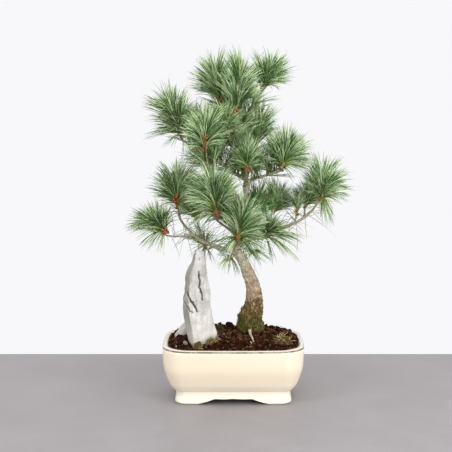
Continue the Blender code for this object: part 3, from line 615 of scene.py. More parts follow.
def bent_strands(name, master, rows):
    """A mesh of many copies of a strand. Each row gives its start, middle, end, width and tint.

    The points carry two attributes: how far along its strand each is, and the strand's tint.
    """
    mesh = repeated(master, len(rows))
    mesh.name = name
    shape = points_of(master)
    along = shape[:, 2]
    start = np.array([row[0] for row in rows])[:, None, :]
    middle = np.array([row[1] for row in rows])[:, None, :]
    end = np.array([row[2] for row in rows])[:, None, :]
    width = np.array([row[3] for row in rows])[:, None, None]
    t = along[None, :, None]
    line = start * (1 - t) ** 2 + 2 * middle * t * (1 - t) + end * t**2
    heading = 2 * (middle - start) * (1 - t) + 2 * (end - middle) * t
    heading /= np.linalg.norm(heading, axis=2, keepdims=True)
    outward = np.cross(end - start, middle - start + np.array([1e-6, 2e-6, 3e-6]))
    side = np.cross(heading, np.broadcast_to(outward, heading.shape))
    side /= np.linalg.norm(side, axis=2, keepdims=True)
    across = np.cross(heading, side)
    taper = np.clip(np.minimum(0.55 + 2.5 * t, 1.0) * (1 - 0.5 * t**3), 0, 1)
    points = line + taper * width * (side * shape[None, :, 0:1] + across * shape[None, :, 1:2])
    mesh.vertices.foreach_set("co", points.astype(np.float32).ravel())
    tints = np.repeat([row[4] for row in rows], len(along)).astype(np.float32)
    mesh.attributes.new("along", "FLOAT", "POINT").data.foreach_set("value", np.tile(along, len(rows)))
    mesh.attributes.new("tint", "FLOAT", "POINT").data.foreach_set("value", tints)
    mesh.update()
    return mesh


fibre, tree, shader, place = new_finish("root_fibre", Roughness=0.85)
tint = carried(tree, "tint")
patches, grit = add_mottle(tree, place, 600.0, 0.1)
colour = blend_tones(tree, tint, tone(74, 48, 32), tone(198, 168, 130))
colour = blend_tones(tree, partly(tree, patches, 0.4), colour, tone(60, 38, 24))
set_look(tree, shader, colour, grit, 0.2 * MM)

fibre_rows = []


def lay_fibre(spot, normal):
    """One curved fibre or needle scrap lying on the soil."""
    length = draw.uniform(4, 11) * MM
    turn = draw.uniform(0, 2 * math.pi)
    ahead = Vector((math.cos(turn), math.sin(turn), 0))
    ahead = (ahead - normal * ahead.dot(normal)).normalized() * length
    aside = normal.cross(ahead) * draw.uniform(-0.35, 0.35)
    lift = normal * draw.uniform(0.4, 1.8) * MM
    start = spot + normal * 0.7 * MM
    width = draw.uniform(0.35, 0.8) * MM
    bow = start + ahead / 2 + aside + lift
    fibre_rows.append((start, bow, start + ahead + lift * 0.3, width, draw.random() ** 2))


scatter(FIBRES, -soil_reach, soil_reach, lay_fibre)
fibres = to_piece(bent_strands("root_fibres", strand_mesh(4, 4), fibre_rows), "root_fibres", fibre)
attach(fibres, "root")

perlite = mottled_finish(
    "white_perlite", 900.0, 0.1, tone(214, 200, 176), tone(246, 240, 226), 0.2 * MM, Roughness=0.9
)
perlite_stamps = []


def lay_perlite(spot, normal):
    """One white grain on the surface."""
    size = draw.uniform(0.6, 1.1) * MM
    matrix = Matrix.Translation(spot + normal * (size + 0.8 * MM)) @ random_turn() @ Matrix.Scale(size, 4)
    perlite_stamps.append((matrix, 0.0))


scatter(PERLITE_GRAINS, -soil_reach, soil_reach, lay_perlite)
perlite_mesh = stamped("perlite_grains", grain_masters, perlite_stamps)
perlite_grains = to_piece(perlite_mesh, "perlite_grains", perlite)
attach(perlite_grains, "root")

# ---- Stones ----
# A tall weathered limestone stands beside the tree with its foot in the soil, a low wedge of the
# same stone leans behind it and a chip lies at its foot. Rain has ribbed them, and cracks cross the
# front of the tall one.

STONE_LOW, STONE_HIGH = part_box("standing_stone")
STONE_VOXEL = 0.75 * MM
# Cracks of the tall stone's front: half width, depth, and a path counted in millimetres across from
# the stone's left side and down from its top.
STONE_CRACKS = (
    (0.95, 2.6, ((21.0, 33.5), (22.6, 40.8), (22.3, 48.6), (24.3, 56.5), (25.8, 67.1))),
    (1.15, 2.8, ((3.7, 57.2), (7.8, 63.8), (12.4, 69.0), (15.6, 73.7), (19.6, 81.6))),
    (0.65, 1.5, ((3.3, 70.4), (7.1, 75.6), (9.1, 80.9), (12.9, 82.2))),
    (0.9, 1.0, ((14.8, 7.6), (15.0, 8.2))),
    (0.8, 0.9, ((21.9, 13.5), (21.6, 14.6))),
    (0.9, 1.1, ((20.7, 30.3), (21.2, 32.0))),
    (0.7, 0.9, ((12.4, 49.0), (12.0, 50.2))),
    (0.7, 0.9, ((18.3, 67.1), (18.6, 68.0))),
)

limestone, tree, shader, place = new_finish("weathered_limestone", Roughness=0.9)
height = height_of(tree, place)
ribbed_place = add_node(tree, "Mapping", {"Vector": place, "Scale": (1.0, 1.0, 0.15)}).outputs["Vector"]
streaks, ribs = add_mottle(tree, ribbed_place, 210.0, 0.12)
stains, _ = add_mottle(tree, place, 55.0, 0.1)
pores, grit = add_mottle(tree, place, 650.0, 0.07)
colour = blend_tones(tree, streaks, tone(196, 194, 190), tone(222, 221, 218))
colour = blend_tones(tree, partly(tree, stains, 0.4), colour, tone(160, 154, 146))
# Painted shade: the faces turned to the left are darkened.
painted_shade_left_side = ramp_mask(tree, facing_of(tree)["X"], 0.25, -0.75)
colour = blend_tones(tree, partly(tree, painted_shade_left_side, 0.75), colour, tone(128, 121, 112))
washed = ramp_mask(tree, height, POT_TOP + 46 * MM, POT_TOP + 14 * MM)
colour = blend_tones(tree, partly(tree, washed, 0.5), colour, tone(222, 218, 208))
dirty = ramp_mask(tree, height, POT_TOP + 12 * MM, POT_TOP + 3 * MM)
colour = blend_tones(tree, partly(tree, dirty, 0.5), colour, tone(176, 156, 118))
colour = blend_tones(tree, partly(tree, pores, 0.14), colour, tone(120, 108, 98))
crack = carried(tree, "crack")
colour = blend_tones(tree, crack, colour, tone(48, 40, 34))
set_look(tree, shader, colour, math_node(tree, "MULTIPLY_ADD", grit, 0.5, ribs), 1.1 * MM)


def crack_depth(point):
    """How deep the cracks cut under a point of the tall stone's front, and how dark they are there."""
    across = (point.x - STONE_LOW.x) / MM + 1.3 * noise.noise(point * 260)
    spot = Vector((across, (STONE_HIGH.z - point.z) / MM + 0.8 * noise.noise(point * 310)))
    deepest = 0.0
    darkest = 0.0
    for half_width, depth, path in STONE_CRACKS:
        for start, end in zip(path, path[1:]):
            start = Vector(start)
            way = Vector(end) - start
            share = min(max((spot - start).dot(way) / way.length_squared, 0.0), 1.0)
            closeness = math.exp(-(((spot - start - share * way).length / half_width) ** 2))
            deepest = max(deepest, depth * closeness)
            darkest = max(darkest, closeness * min(depth / 1.6, 1.0))
    return deepest * MM, darkest


def weathered(name, new_name, voxel, lumps, dirt=0.0):
    """A stone made from its solid: facets, upright ribs, and cracks if it is the tall one."""
    bm = remeshed(cad_copy(name), voxel, 16)
    crack_layer = bm.verts.layers.float.new("crack")

    def relief(vert):
        ribbed = Vector((vert.co.x * 300, vert.co.y * 300, vert.co.z * 42))
        raised = (lumps * noise.noise(vert.co * 42) + 0.5 * lumps * noise.noise(vert.co * 110)) * MM
        raised += (0.8 * noise.noise(ribbed) + 0.2 * noise.noise(vert.co * 600)) * MM
        vert[crack_layer] = dirt
        if name == "standing_stone" and vert.normal.y < -0.15:
            depth, vert[crack_layer] = crack_depth(vert.co)
            raised -= depth
        return raised

    raise_surface(bm, relief)
    stone = to_piece(to_mesh(bm, new_name), new_name, limestone)
    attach(stone, "root")
    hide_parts(name)


weathered("standing_stone", "tall_stone", STONE_VOXEL, 2.2)
weathered("flank_stone", "low_stone", STONE_VOXEL, 1.6)
weathered("pebble", "stone_chip", 0.35 * MM, 6.0, 0.72)

# ---- Tree wood ----
# The living trunk, branches and roots of the pine. Flaky bark covers the trunk, grey-beige above and
# golden brown lower down, and turns smoother and thinner out along the branches.

WOOD_VOXEL = 0.85 * MM
TRUNK_FOOT = POT_TOP + 21 * MM
THICK_WOOD = 26 * MM
SCAR_HEIGHT = TRUNK_FOOT + 66 * MM
SCAR_REACH = 18 * MM
BULGE_HEIGHT = TRUNK_FOOT + 12 * MM
BULGE_REACH = 13 * MM

bark, tree, shader, place = new_finish("pine_bark", Roughness=0.88)
height = height_of(tree, place)
girth = carried(tree, "girth")
hollow = carried(tree, "hollow")
drawn_out = add_node(tree, "Mapping", {"Vector": place, "Scale": (1.0, 1.0, 0.55)}).outputs["Vector"]
flakes, flake_relief = add_mottle(tree, drawn_out, 330.0, 0.08)
patches, _ = add_mottle(tree, place, 95.0, 0.09)
specks, grit = add_mottle(tree, place, 800.0, 0.06)
upper = blend_tones(tree, flakes, tone(152, 144, 114), tone(210, 208, 182))
middle = blend_tones(tree, flakes, tone(144, 118, 92), tone(204, 180, 150))
lower = blend_tones(tree, flakes, tone(56, 38, 8), tone(132, 102, 36))
uneven = math_node(tree, "SUBTRACT", height, partly(tree, patches, 26 * MM))
low_bark = ramp_mask(tree, uneven, TRUNK_FOOT + 32 * MM, TRUNK_FOOT + 10 * MM)
high_bark = ramp_mask(tree, uneven, TRUNK_FOOT + 42 * MM, TRUNK_FOOT + 66 * MM)
colour = blend_tones(tree, low_bark, middle, lower)
colour = blend_tones(tree, high_bark, colour, upper)
twig = blend_tones(tree, patches, tone(122, 110, 80), tone(174, 166, 134))
colour = blend_tones(tree, ramp_mask(tree, girth, 11 * MM, 6 * MM), colour, twig)
colour = blend_tones(tree, partly(tree, patches, 0.35), colour, tone(118, 98, 74))
above_foot = ramp_mask(tree, height, TRUNK_FOOT + 20 * MM, TRUNK_FOOT + 90 * MM)
speckled = math_node(tree, "MULTIPLY", specks, above_foot)
colour = blend_tones(tree, partly(tree, speckled, 0.4), colour, tone(206, 198, 176))
low_foot = math_node(tree, "SUBTRACT", height, partly(tree, patches, 14 * MM))
mossy = ramp_mask(tree, low_foot, TRUNK_FOOT + 16 * MM, TRUNK_FOOT - 1 * MM)
damp = blend_tones(tree, flakes, tone(58, 50, 18), tone(118, 110, 46))
colour = blend_tones(tree, partly(tree, mossy, 0.9), colour, damp)
colour = blend_tones(tree, hollow, colour, tone(46, 32, 20))
thin = ramp_mask(tree, girth, 9 * MM, 7 * MM)
at_soil = ramp_mask(tree, height, TRUNK_FOOT + 4 * MM, TRUNK_FOOT - 1 * MM)
bare_root = math_node(tree, "MULTIPLY", thin, at_soil)
root_tone = blend_tones(tree, flakes, tone(168, 142, 112), tone(208, 190, 164))
colour = blend_tones(tree, bare_root, colour, root_tone)
set_look(tree, shader, colour, math_node(tree, "MULTIPLY_ADD", grit, 0.4, flake_relief), 1.2 * MM)

wood_bm = remeshed(cad_copy("tree_wood"), WOOD_VOXEL, 4)
girth_layer = wood_bm.verts.layers.float.new("girth")
hollow_layer = wood_bm.verts.layers.float.new("hollow")
plain_wood = BVHTree.FromBMesh(wood_bm)
for vert in wood_bm.verts:
    inside = plain_wood.ray_cast(vert.co - vert.normal * 0.1 * MM, -vert.normal)[3]
    vert[girth_layer] = inside or 2 * MM


def bark_relief(vert):
    """Flakes of bark with gaps between them, coarser where the wood is thick.

    A dark scar runs up the trunk's right side, and its foot bulges on the left.
    """
    spot = Vector((vert.co.x * 150, vert.co.y * 150, vert.co.z * 95))
    spot += 0.5 * noise.noise_vector(vert.co * 120)
    near, second = noise.voronoi(spot)[0][:2]
    gap = 1 - min((second - near) / 0.22, 1.0)
    thick = min(vert[girth_layer] / THICK_WOOD, 1.0)
    low = min(max((TRUNK_FOOT + 70 * MM - vert.co.z) / (60 * MM), 0.0), 1.0)
    scar = math.exp(-(((vert.co.z - SCAR_HEIGHT) / SCAR_REACH) ** 2)) * max(vert.normal.x - 0.62, 0.0)
    scar *= 1.8 * (1 + noise.noise(vert.co * 180))
    vert[hollow_layer] = (0.75 * gap**2 * (0.25 + 0.75 * low) + scar) * thick
    bumps = noise.noise(vert.co * 240) + 0.6 * noise.noise(vert.co * 520)
    swelling = 1.6 * noise.noise(vert.co * 60) * thick
    flaking = (0.2 + 1.1 * thick * (0.4 + 0.6 * low)) * bumps - thick * gap * (0.3 + low)
    slimmed = 0.26 * vert[girth_layer] * (1 - thick) ** 2
    bulge = math.exp(-(((vert.co.z - BULGE_HEIGHT) / BULGE_REACH) ** 2)) * max(-vert.normal.x - 0.2, 0.0)
    swelling += 5 * bulge * thick * (1 + noise.noise(vert.co * 150))
    return (flaking + swelling) * MM - slimmed


raise_surface(wood_bm, bark_relief)
wood_tree = BVHTree.FromBMesh(wood_bm)
wood = to_piece(to_mesh(wood_bm.copy(), "trunk_and_branches"), "trunk_and_branches", bark)
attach(wood, "root")
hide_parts("tree_wood")

# ---- Moss ----
# Low cushions of moss at the tall stone's foot, an upright clump behind it and a patch on the right,
# with dry straw-coloured sprigs. More moss creeps up the foot of the trunk.

MOSS_VOXEL = 0.5 * MM
FOOT_BLADES = 3200
# Blades of each cushion, their least and greatest tint (0 dark green, 0.5 olive, 1 straw), how long
# they are in millimetres, and the number of straw sprigs.
CUSHIONS = {
    "moss_front": (520, 0.30, 0.62, 1.7, 3),
    "moss_side": (620, 0.5, 1.0, 2.0, 30),
    "moss_lump": (700, 0.00, 0.30, 2.2, 0),
    "moss_right": (700, 0.15, 0.60, 2.4, 30),
}

moss, tree, shader, place = new_finish("moss_blades", Roughness=0.8)
tint = carried(tree, "tint")
along = carried(tree, "along")
patches, grit = add_mottle(tree, place, 300.0, 0.1)
colour = blend_tones(tree, ramp_mask(tree, tint, 0.0, 0.5), tone(44, 52, 22), tone(122, 116, 48))
colour = blend_tones(tree, ramp_mask(tree, tint, 0.5, 1.0), colour, tone(216, 202, 146))
colour = blend_tones(tree, partly(tree, patches, 0.3), colour, tone(96, 78, 34))
root_dark = math_node(tree, "MULTIPLY", ramp_mask(tree, along, 0.6, 0.0), 0.7)
colour = blend_tones(tree, root_dark, colour, tone(34, 28, 14))
set_look(tree, shader, colour, grit, 0.2 * MM)

moss_bed, tree, shader, place = new_finish("moss_bed", Roughness=0.95)
height = height_of(tree, place)
patches, grit = add_mottle(tree, place, 260.0, 0.08)
colour = blend_tones(tree, patches, tone(48, 42, 18), tone(92, 84, 36))
reddish = ramp_mask(tree, height, POT_TOP + 17 * MM, POT_TOP + 12 * MM)
rusty = blend_tones(tree, patches, tone(52, 24, 12), tone(128, 70, 44))
colour = blend_tones(tree, reddish, colour, rusty)
set_look(tree, shader, colour, grit, 1.0 * MM)


def surface_spots(bm, count, wanted):
    """Random spots and their normals, spread evenly over the faces that pass a test."""
    faces = [face for face in bm.faces if wanted(face)]
    spots = []
    for face in draw.choices(faces, weights=[face.calc_area() for face in faces], k=count):
        shares = [draw.random() for _ in face.verts]
        spot = sum((vert.co * share for vert, share in zip(face.verts, shares)), Vector()) / sum(shares)
        spots.append((spot, face.normal.copy()))
    return spots


def blades_on(bm, count, wanted, lengths, widths, lean, tints):
    """Short blades that grow out of the faces that pass a test, as rows for bent_strands.

    Lengths and widths are drawn between two millimetres, and tints between two shares.
    """
    rows = []
    for spot, normal in surface_spots(bm, count, wanted):
        length = draw.uniform(*lengths) * MM
        width = draw.uniform(*widths) * MM
        tint = draw.uniform(*tints)
        tip = spot + (normal + lean * any_way()).normalized() * length
        bend = any_way() * length * 0.12
        start = spot - normal * 0.3 * MM
        rows.append((start, (start + tip) / 2 + bend, tip, width, tint))
    return rows


def upward(face):
    """Whether a face of a cushion looks up at the light."""
    return face.normal.z > 0.3


def outward(face):
    """Whether a face of a cushion doesn't look down into the soil."""
    return face.normal.z > -0.3


def lumpy(vert):
    """Small rounded lumps."""
    return (2.4 * noise.noise(vert.co * 210) + 0.9 * noise.noise(vert.co * 600)) * MM


blade_master = strand_mesh(3, 2)
straw_master = strand_mesh(3, 5)
straw_rows = []
for cad_node, (count, low_tint, high_tint, length, sprigs) in CUSHIONS.items():
    bed_bm = remeshed(cad_copy(cad_node), MOSS_VOXEL, 2)
    raise_surface(bed_bm, lumpy)
    lengths = (0.6 * length, 1.2 * length)
    blade_rows = blades_on(bed_bm, count, outward, lengths, (0.45, 0.8), 0.5, (low_tint, high_tint))
    straw_rows += blades_on(bed_bm, sprigs, upward, (5, 11), (0.5, 0.8), 0.9, (0.8, 1))
    bed = to_piece(to_mesh(bed_bm, cad_node + "_bed"), cad_node + "_bed", moss_bed)
    blades_mesh = bent_strands(cad_node + "_blades", blade_master, blade_rows)
    blades = to_piece(blades_mesh, cad_node + "_blades", moss)
    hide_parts(cad_node)
    for piece in (bed, blades):
        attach(piece, "root")


def mossy_foot(face):
    """Whether moss grows on this face of the trunk's foot, higher up on the left than on the right."""
    middle = face.calc_center_median()
    top = TRUNK_FOOT + (8 + 24 * noise.noise(middle * 70) - 17 * face.normal.x) * MM
    return POT_TOP < middle.z < top and face.verts[0][girth_layer] > 9 * MM


foot_rows = blades_on(wood_bm, FOOT_BLADES, mossy_foot, (0.9, 2.8), (0.4, 0.8), 0.5, (0.1, 0.55))
trunk_moss = to_piece(bent_strands("trunk_moss", blade_master, foot_rows), "trunk_moss", moss)
straw = to_piece(bent_strands("straw_sprigs", straw_master, straw_rows), "straw_sprigs", moss)
for piece in (trunk_moss, straw):
    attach(piece, "root")

# ---- Needles ----
# Blue-green needles in bundles of five, which fan up and out of the end of every shoot and arch over at the
# tips. Two faces of each needle are silvery; pale tints on some needles stand partly for these bands and
# partly for painted highlights, so the bundles look banded with pale lines.

NEEDLE_WIDTH = 0.88 * MM
NEEDLE_LEAST = 44 * MM
NEEDLE_MOST = 61 * MM
NEEDLES_IN_BUNDLE = 5
TINT_SPREAD = 0.45
# Tint ranges of the needles: the usual range, and a darker range that paints shade on the tufts in
# DARK_TUFTS.
SUNLIT_TINTS = (0.15, 0.75)
SHADED_TINTS = (-0.3, 0.2)
SHOOT_SHARE = 0.75
SHOOT_WIDTH = 4.2 * MM
BUD_WIDTH = 3.1 * MM
BUD_CLIMB = 7 * MM
# How many bundles a tuft holds, where it isn't the usual number.
USUAL_BUNDLES = 165
TUFT_BUNDLES = {
    "tuft_front_droop": 6,
    "tuft_front_spur": 6,
    "tuft_right_thin": 20,
    "tuft_left_low": 22,
    "tuft_middle_low": 50,
    "tuft_front_low": 190,
    "tuft_front_left": 190,
    "tuft_middle_dark": 80,
    "tuft_right_front": 90,
}
# Bundles that hang or stray from a tuft: the way each tip lies from the tuft's start, in
# millimetres to the right, to the front and up.
STRAY_BUNDLES = {
    "tuft_left_out": (
        (-50, 6, 5), (-38, 12, -16), (-15, 14, -21), (-4, 8, -27), (-28, 16, -22), (-24, -8, -20),
    ),
    "tuft_upper_left": (
        (-43, 10, -7), (-39, 14, 29), (-43, 6, 50), (12, 10, -27), (-30, 20, 2), (-20, 18, -14),
    ),
    "tuft_right_front": (
        (49, 10, 1), (50, 4, -3), (41, 10, -30), (24, 14, -26), (16, 12, -30), (46, 12, -14), (34, 16, -20),
    ),
    "tuft_right_top": (
        (40, 8, 7), (37, 12, 2), (31, 14, -3), (10, 12, -30), (16, 10, -22), (-2, 12, -29), (4, 14, -29),
        (38, 4, 16),
    ),
    "tuft_front_droop": ((-16, 6, -22), (-12, 10, -21), (7, 8, -29), (0, 10, -20), (-4, 12, -22)),
    "tuft_front_low": (
        (29, 14, -26), (36, 10, -18), (14, 16, -26), (-28, 12, -20), (-32, 10, -8), (44, 8, -6),
        (24, 18, -20), (-16, 14, -24),
    ),
    "tuft_front_left": ((-44, 10, -2), (-38, 14, -12), (36, 14, -10), (26, 16, -20), (-24, 16, -20)),
    "tuft_front_spur": ((28, 8, -17), (22, 10, -15), (20, 6, -7), (26, 4, -10)),
    "tuft_left_low": ((-16, 10, -22), (-24, 8, -14), (10, 12, -18), (-6, 6, -26)),
    "tuft_middle_low": ((38, 10, -16), (44, 8, -8), (30, 12, -26), (20, 10, -30), (46, 6, 2)),
    "tuft_left_top": ((-14, 10, 45), (13, 8, -17)),
    "tuft_upper_right": ((14, 12, -10), (44, 8, 2), (40, 10, -6)),
}
STRAY_COPIES = 2
# Tufts that open wider: how far past the outline they reach, and how low their needles may point.
OPEN_TUFTS = {
    "tuft_front_low": (-3 * MM, -0.22),
    "tuft_heart": (3 * MM, 0.08),
    "tuft_front_left": (3 * MM, 0.02),
    "tuft_crown_front": (3 * MM, 0.15),
    "tuft_crown_left": (4 * MM, 0.15),
    "tuft_front_high": (1 * MM, -0.02),
    "tuft_upper_right": (0.0, 0.12),
    "tuft_left_out": (-4 * MM, 0.12),
    "tuft_left_top": (2 * MM, 0.12),
}
STRAY_NEEDLES = 450
TWIG_BUNDLES = 300
TWIG_GIRTH = 8 * MM
# How far above the trunk's foot the first needles grow, and how far the crown's twigs.
BARE_TRUNK = 90 * MM
CROWN_RISE = 195 * MM
# Tufts whose buds climb further up the shoot, and tufts that stand in the shade of the others, whose
# needles get darker tints as painted shade.
LONG_BUDS = {"tuft_front_high": 24 * MM, "tuft_left_top": 16 * MM}
DARK_TUFTS = ("tuft_middle_dark", "tuft_middle_low")
SMALL_TUFTS = ("tuft_front_droop", "tuft_front_spur", "tuft_right_thin", "tuft_left_low")

needle, tree, shader, place = new_finish("pine_needle", Roughness=0.55, Specular_IOR_Level=0.25)
tint = carried(tree, "tint")
along = carried(tree, "along")
drifts, _ = add_mottle(tree, place, 40.0, 0.12)
bands, _ = add_mottle(tree, place, 260.0, 0.05)
near = blend_tones(tree, tint, tone(54, 88, 12), tone(148, 176, 50))
dark = blend_tones(tree, drifts, tone(38, 86, 14), tone(74, 134, 34))
# Needles with high tints turn pale towards their tips: partly the silvery bands, partly painted highlights.
far = blend_tones(tree, ramp_mask(tree, tint, 0.38, 0.78), dark, tone(222, 242, 192))
colour = blend_tones(tree, ramp_mask(tree, along, 0.1, 0.6), near, far)
colour = blend_tones(tree, partly(tree, bands, 0.2), colour, tone(204, 220, 186))
ends = math_node(tree, "MULTIPLY", ramp_mask(tree, along, 0.86, 1.0), 0.5)
colour = blend_tones(tree, ends, colour, tone(166, 158, 116))
set_look(tree, shader, colour, bands, 0.1 * MM)

shoot_bark = mottled_finish(
    "shoot_bark", 420.0, 0.1, tone(112, 84, 46), tone(164, 138, 92), 0.8 * MM, Roughness=0.8
)

bud_scales, tree, shader, place = new_finish("bud_scales", Roughness=0.6)
tint = carried(tree, "tint")
patches, grit = add_mottle(tree, place, 700.0, 0.1)
colour = blend_tones(tree, tint, tone(172, 100, 56), tone(152, 120, 78))
colour = blend_tones(tree, partly(tree, patches, 0.5), colour, tone(142, 74, 38))
set_look(tree, shader, colour, grit, 0.6 * MM)

needle_master = strand_mesh(3, 5)
shoot_master = strand_mesh(7, 4)
bud_rings = []
for level, radius in ((0, 0.3), (0.2, 0.48), (0.5, 0.46), (0.75, 0.3), (0.93, 0.12), (1.0, 0.02)):
    turns = [side * math.pi / 3 for side in range(6)]
    bud_rings.append([Vector((radius * math.cos(turn), radius * math.sin(turn), level)) for turn in turns])
bud_master = to_mesh(loft(bud_rings), "bud")


def any_direction():
    """A direction drawn evenly from the whole sphere."""
    return any_way().normalized()


def add_bundle(rows, root, tip, lift, tint):
    """Needles side by side from a root to about a tip. The lift is how far they bow on the way."""
    length = (tip - root).length
    middle = (root + tip) / 2 + lift
    for _ in range(NEEDLES_IN_BUNDLE):
        spread = any_direction() * draw.uniform(2, 9) * MM
        end = root + (tip + spread - root) * draw.uniform(0.9, 1.05)
        width = NEEDLE_WIDTH * draw.uniform(0.8, 1.1)
        own_tint = min(max(tint + draw.gauss(0, TINT_SPREAD), 0), 1)
        bow = any_direction() * 0.04 * length
        rows.append((root + any_direction() * 0.7 * MM, middle + spread * 0.35 + bow, end, width, own_tint))


def fill_outline(rows, cad_node, skin, start, middle):
    """Bundles that reach a tuft's outline from along its shoot."""
    axis = (middle - start).normalized()
    least_reach = (middle - start).length * 0.85
    swell, lowest = OPEN_TUFTS.get(cad_node, (0.0, min(0.16, axis.z - 0.35)))

    def far_enough(face):
        way = face.calc_center_median() - start
        heading = way.normalized()
        in_the_way = cad_node in OPEN_TUFTS and heading.y < -0.62
        return way.length > least_reach and heading.z > lowest and not in_the_way

    for spot, normal in surface_spots(skin, TUFT_BUNDLES.get(cad_node, USUAL_BUNDLES), far_enough):
        tip = spot + normal * (draw.uniform(-9, 12) * MM + swell)
        length = draw.uniform(NEEDLE_LEAST, NEEDLE_MOST)
        step = 0.0
        while step < 1 and (tip - start - step * SHOOT_SHARE * (middle - start)).length > length:
            step += 0.1
        root = start + SHOOT_SHARE * (middle - start) * min(step, 1.0) + axis * draw.uniform(0, 4) * MM
        way = tip - root
        lift = (axis - way.normalized() * axis.dot(way.normalized())) * way.length * 0.24
        lift += Vector((0, 0, 0.05)) * way.length
        # Painted shade: tufts in DARK_TUFTS draw their tints from the darker range.
        tints = SHADED_TINTS if cad_node in DARK_TUFTS else SUNLIT_TINTS
        add_bundle(rows, root, tip, lift, draw.uniform(*tints))


def hang_strays(rows, cad_node, start, axis):
    """The bundles that hang or stray from a tuft."""
    root = start + axis * 2 * MM
    for right, front, up in STRAY_BUNDLES.get(cad_node, ()):
        way = Vector((right, -front, up)) * MM
        for _ in range(1 if cad_node in SMALL_TUFTS else STRAY_COPIES):
            tip = root + way + any_direction() * 6 * MM
            add_bundle(rows, root, tip, Vector((0, 0, 0.26)) * way.length, draw.uniform(0.2, 0.8))


def set_buds(stamps, cad_node, start, axis):
    """Scaly buds crowded round the start of a tuft, further up the shoot on some."""
    climb = LONG_BUDS.get(cad_node, BUD_CLIMB)
    for _ in range(3 if cad_node in SMALL_TUFTS else 7 + round(climb / (2.5 * MM))):
        lean = 1.2 * axis + any_direction()
        length = draw.uniform(4, 7.5) * MM
        foot = start + axis * (draw.random() * climb - 3 * MM) + any_direction() * 1.8 * MM
        if cad_node in OPEN_TUFTS:
            foot.y -= 5 * MM
        turn = lean.to_track_quat("Z", "Y").to_matrix().to_4x4()
        size = Matrix.Diagonal((BUD_WIDTH, BUD_WIDTH, length, 1))
        stamps.append((Matrix.Translation(foot) @ turn @ size, draw.random() ** 1.5))


def grow_tuft(cad_node, shoot_rows, bud_stamps):
    """One tuft: its needles as a piece, and its shoot and buds for the pieces that hold them all."""
    skin = cad_copy(cad_node)
    start = min(skin.verts, key=lambda vert: wood_tree.find_nearest(vert.co)[3]).co.copy()
    joint = wood_tree.find_nearest(start)[0]
    middle = sum((vert.co for vert in skin.verts), Vector()) / len(skin.verts)
    axis = (middle - start).normalized()
    rows = []
    fill_outline(rows, cad_node, skin, start, middle)
    hang_strays(rows, cad_node, start, axis)
    skin.free()
    shoot_end = start + (middle - start) * SHOOT_SHARE
    shoot_rows.append((joint, (joint + shoot_end) / 2, shoot_end, SHOOT_WIDTH, 0.5))
    set_buds(bud_stamps, cad_node, start, axis)
    name = cad_node.replace("tuft", "needles")
    tuft = to_piece(bent_strands(name, needle_master, rows), name, needle)
    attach(tuft, "root")
    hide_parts(cad_node)


shoots = []
buds = []
for cad_node in sorted(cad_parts):
    if cad_node.startswith("tuft_"):
        grow_tuft(cad_node, shoots, buds)


def thin_wood(face):
    """Whether a face lies on a twig rather than on a limb."""
    return face.verts[0][girth_layer] < TWIG_GIRTH and face.calc_center_median().z > TRUNK_FOOT + BARE_TRUNK


def high_twig(face):
    """Whether a face lies on a twig of the crown."""
    return thin_wood(face) and face.calc_center_median().z > TRUNK_FOOT + CROWN_RISE


stray_rows = []
for spot, normal in surface_spots(wood_bm, STRAY_NEEDLES, thin_wood):
    heading = (normal + 0.7 * any_direction() + Vector((0, 0, 0.25))).normalized()
    length = draw.uniform(22, 44) * MM
    droop = Vector((0, 0, -0.3)) * length * draw.random()
    tip = spot + heading * length + droop
    bow = (spot + tip) / 2 - droop * 0.5 + any_direction() * 0.08 * length
    stray_rows.append((spot, bow, tip, NEEDLE_WIDTH * 0.8, draw.uniform(0.1, 0.8)))
for spot, normal in surface_spots(wood_bm, TWIG_BUNDLES, high_twig):
    heading = (0.6 * normal + 0.5 * any_direction() + Vector((0, 0, 0.9))).normalized()
    length = draw.uniform(34, 52) * MM
    bow = 0.14 * length * Vector((-heading.x, -heading.y, 0.4))
    add_bundle(stray_rows, spot, spot + heading * length, bow, draw.uniform(0.15, 0.7))
wood_bm.free()
strays = to_piece(bent_strands("stray_needles", needle_master, stray_rows), "stray_needles", needle)
shoot_piece = to_piece(bent_strands("shoots", shoot_master, shoots), "shoots", shoot_bark)
bud_piece = to_piece(stamped("buds", [bud_master], buds), "buds", bud_scales)
for piece, slot in ((strays, "needles"), (shoot_piece, "bark"), (bud_piece, "needles")):
    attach(piece, "root")

# ---- Studio ----
# A plain pale table and plain soft light: two large soft boxes beside the plant, one above it, and a
# white room all round. The camera stands level with the top of the tree and looks slightly down.

TABLE_BACK = 232 * MM
TABLE_REACH = 4.0
CAMERA_DISTANCE = 1.7
CAMERA_HEIGHT = 0.4593
CAMERA_PITCH = 7.706
CAMERA_LENS = 102.74
SIDE_SHIFT = -0.01615
LIT_SPOT = Vector((0, 0, 0.2))

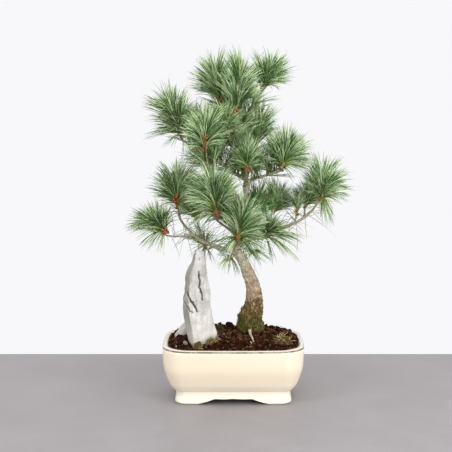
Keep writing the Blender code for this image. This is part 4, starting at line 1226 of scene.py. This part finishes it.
table_grey, tree, shader, place = new_finish("pale_table", Roughness=0.32)
smears, _ = add_mottle(tree, place, 9.0, 0.2)
colour = blend_tones(tree, smears, tone(134, 130, 131), tone(144, 140, 141))
tree.links.new(colour, shader.inputs["Base Color"])
tree.links.new(math_node(tree, "MULTIPLY_ADD", smears, 0.12, 0.5), shader.inputs["Roughness"])
table_bm = bmesh.new()
bmesh.ops.create_grid(table_bm, x_segments=1, y_segments=1, size=1.0)
bmesh.ops.scale(table_bm, verts=table_bm.verts, vec=(TABLE_REACH, TABLE_REACH, 1.0))
bmesh.ops.translate(table_bm, verts=table_bm.verts, vec=(0, POT_MIDDLE.y + TABLE_BACK - TABLE_REACH, 0))
table = to_piece(to_mesh(table_bm, "table"), "table", table_grey)

room = bpy.data.worlds.new("white_room")
room.use_nodes = True
room.node_tree.nodes["Background"].inputs["Color"].default_value = (0.94, 0.935, 0.96, 1.0)
room.node_tree.nodes["Background"].inputs["Strength"].default_value = 1.0
bpy.context.scene.world = room
bpy.context.scene.view_settings.view_transform = "Standard"

# Each soft box's name, place, width in metres and power in watts.
for name, spot, size, power in (
    ("left_box", (-1.3, -1.3, 0.7), 0.9, 8.5),
    ("right_box", (1.2, -1.4, 0.7), 0.9, 20.0),
    ("top_box", (0.0, -0.2, 1.4), 1.2, 9.0),
):
    lamp = bpy.data.lights.new(name, "AREA")
    lamp.shape = "SQUARE"
    lamp.size = size
    lamp.energy = power
    box = bpy.data.objects.new(name, lamp)
    box.location = spot
    box.rotation_euler = (LIT_SPOT - box.location).to_track_quat("-Z", "Y").to_euler()
    bpy.context.scene.collection.objects.link(box)

camera = bpy.data.objects.new("camera", bpy.data.cameras.new("camera"))
camera.data.lens = CAMERA_LENS
camera.data.shift_x = SIDE_SHIFT
camera.location = (POT_MIDDLE.x, POT_MIDDLE.y - CAMERA_DISTANCE, CAMERA_HEIGHT)
camera.rotation_euler = (math.radians(90 - CAMERA_PITCH), 0, 0)
bpy.context.scene.collection.objects.link(camera)
bpy.context.scene.camera = camera
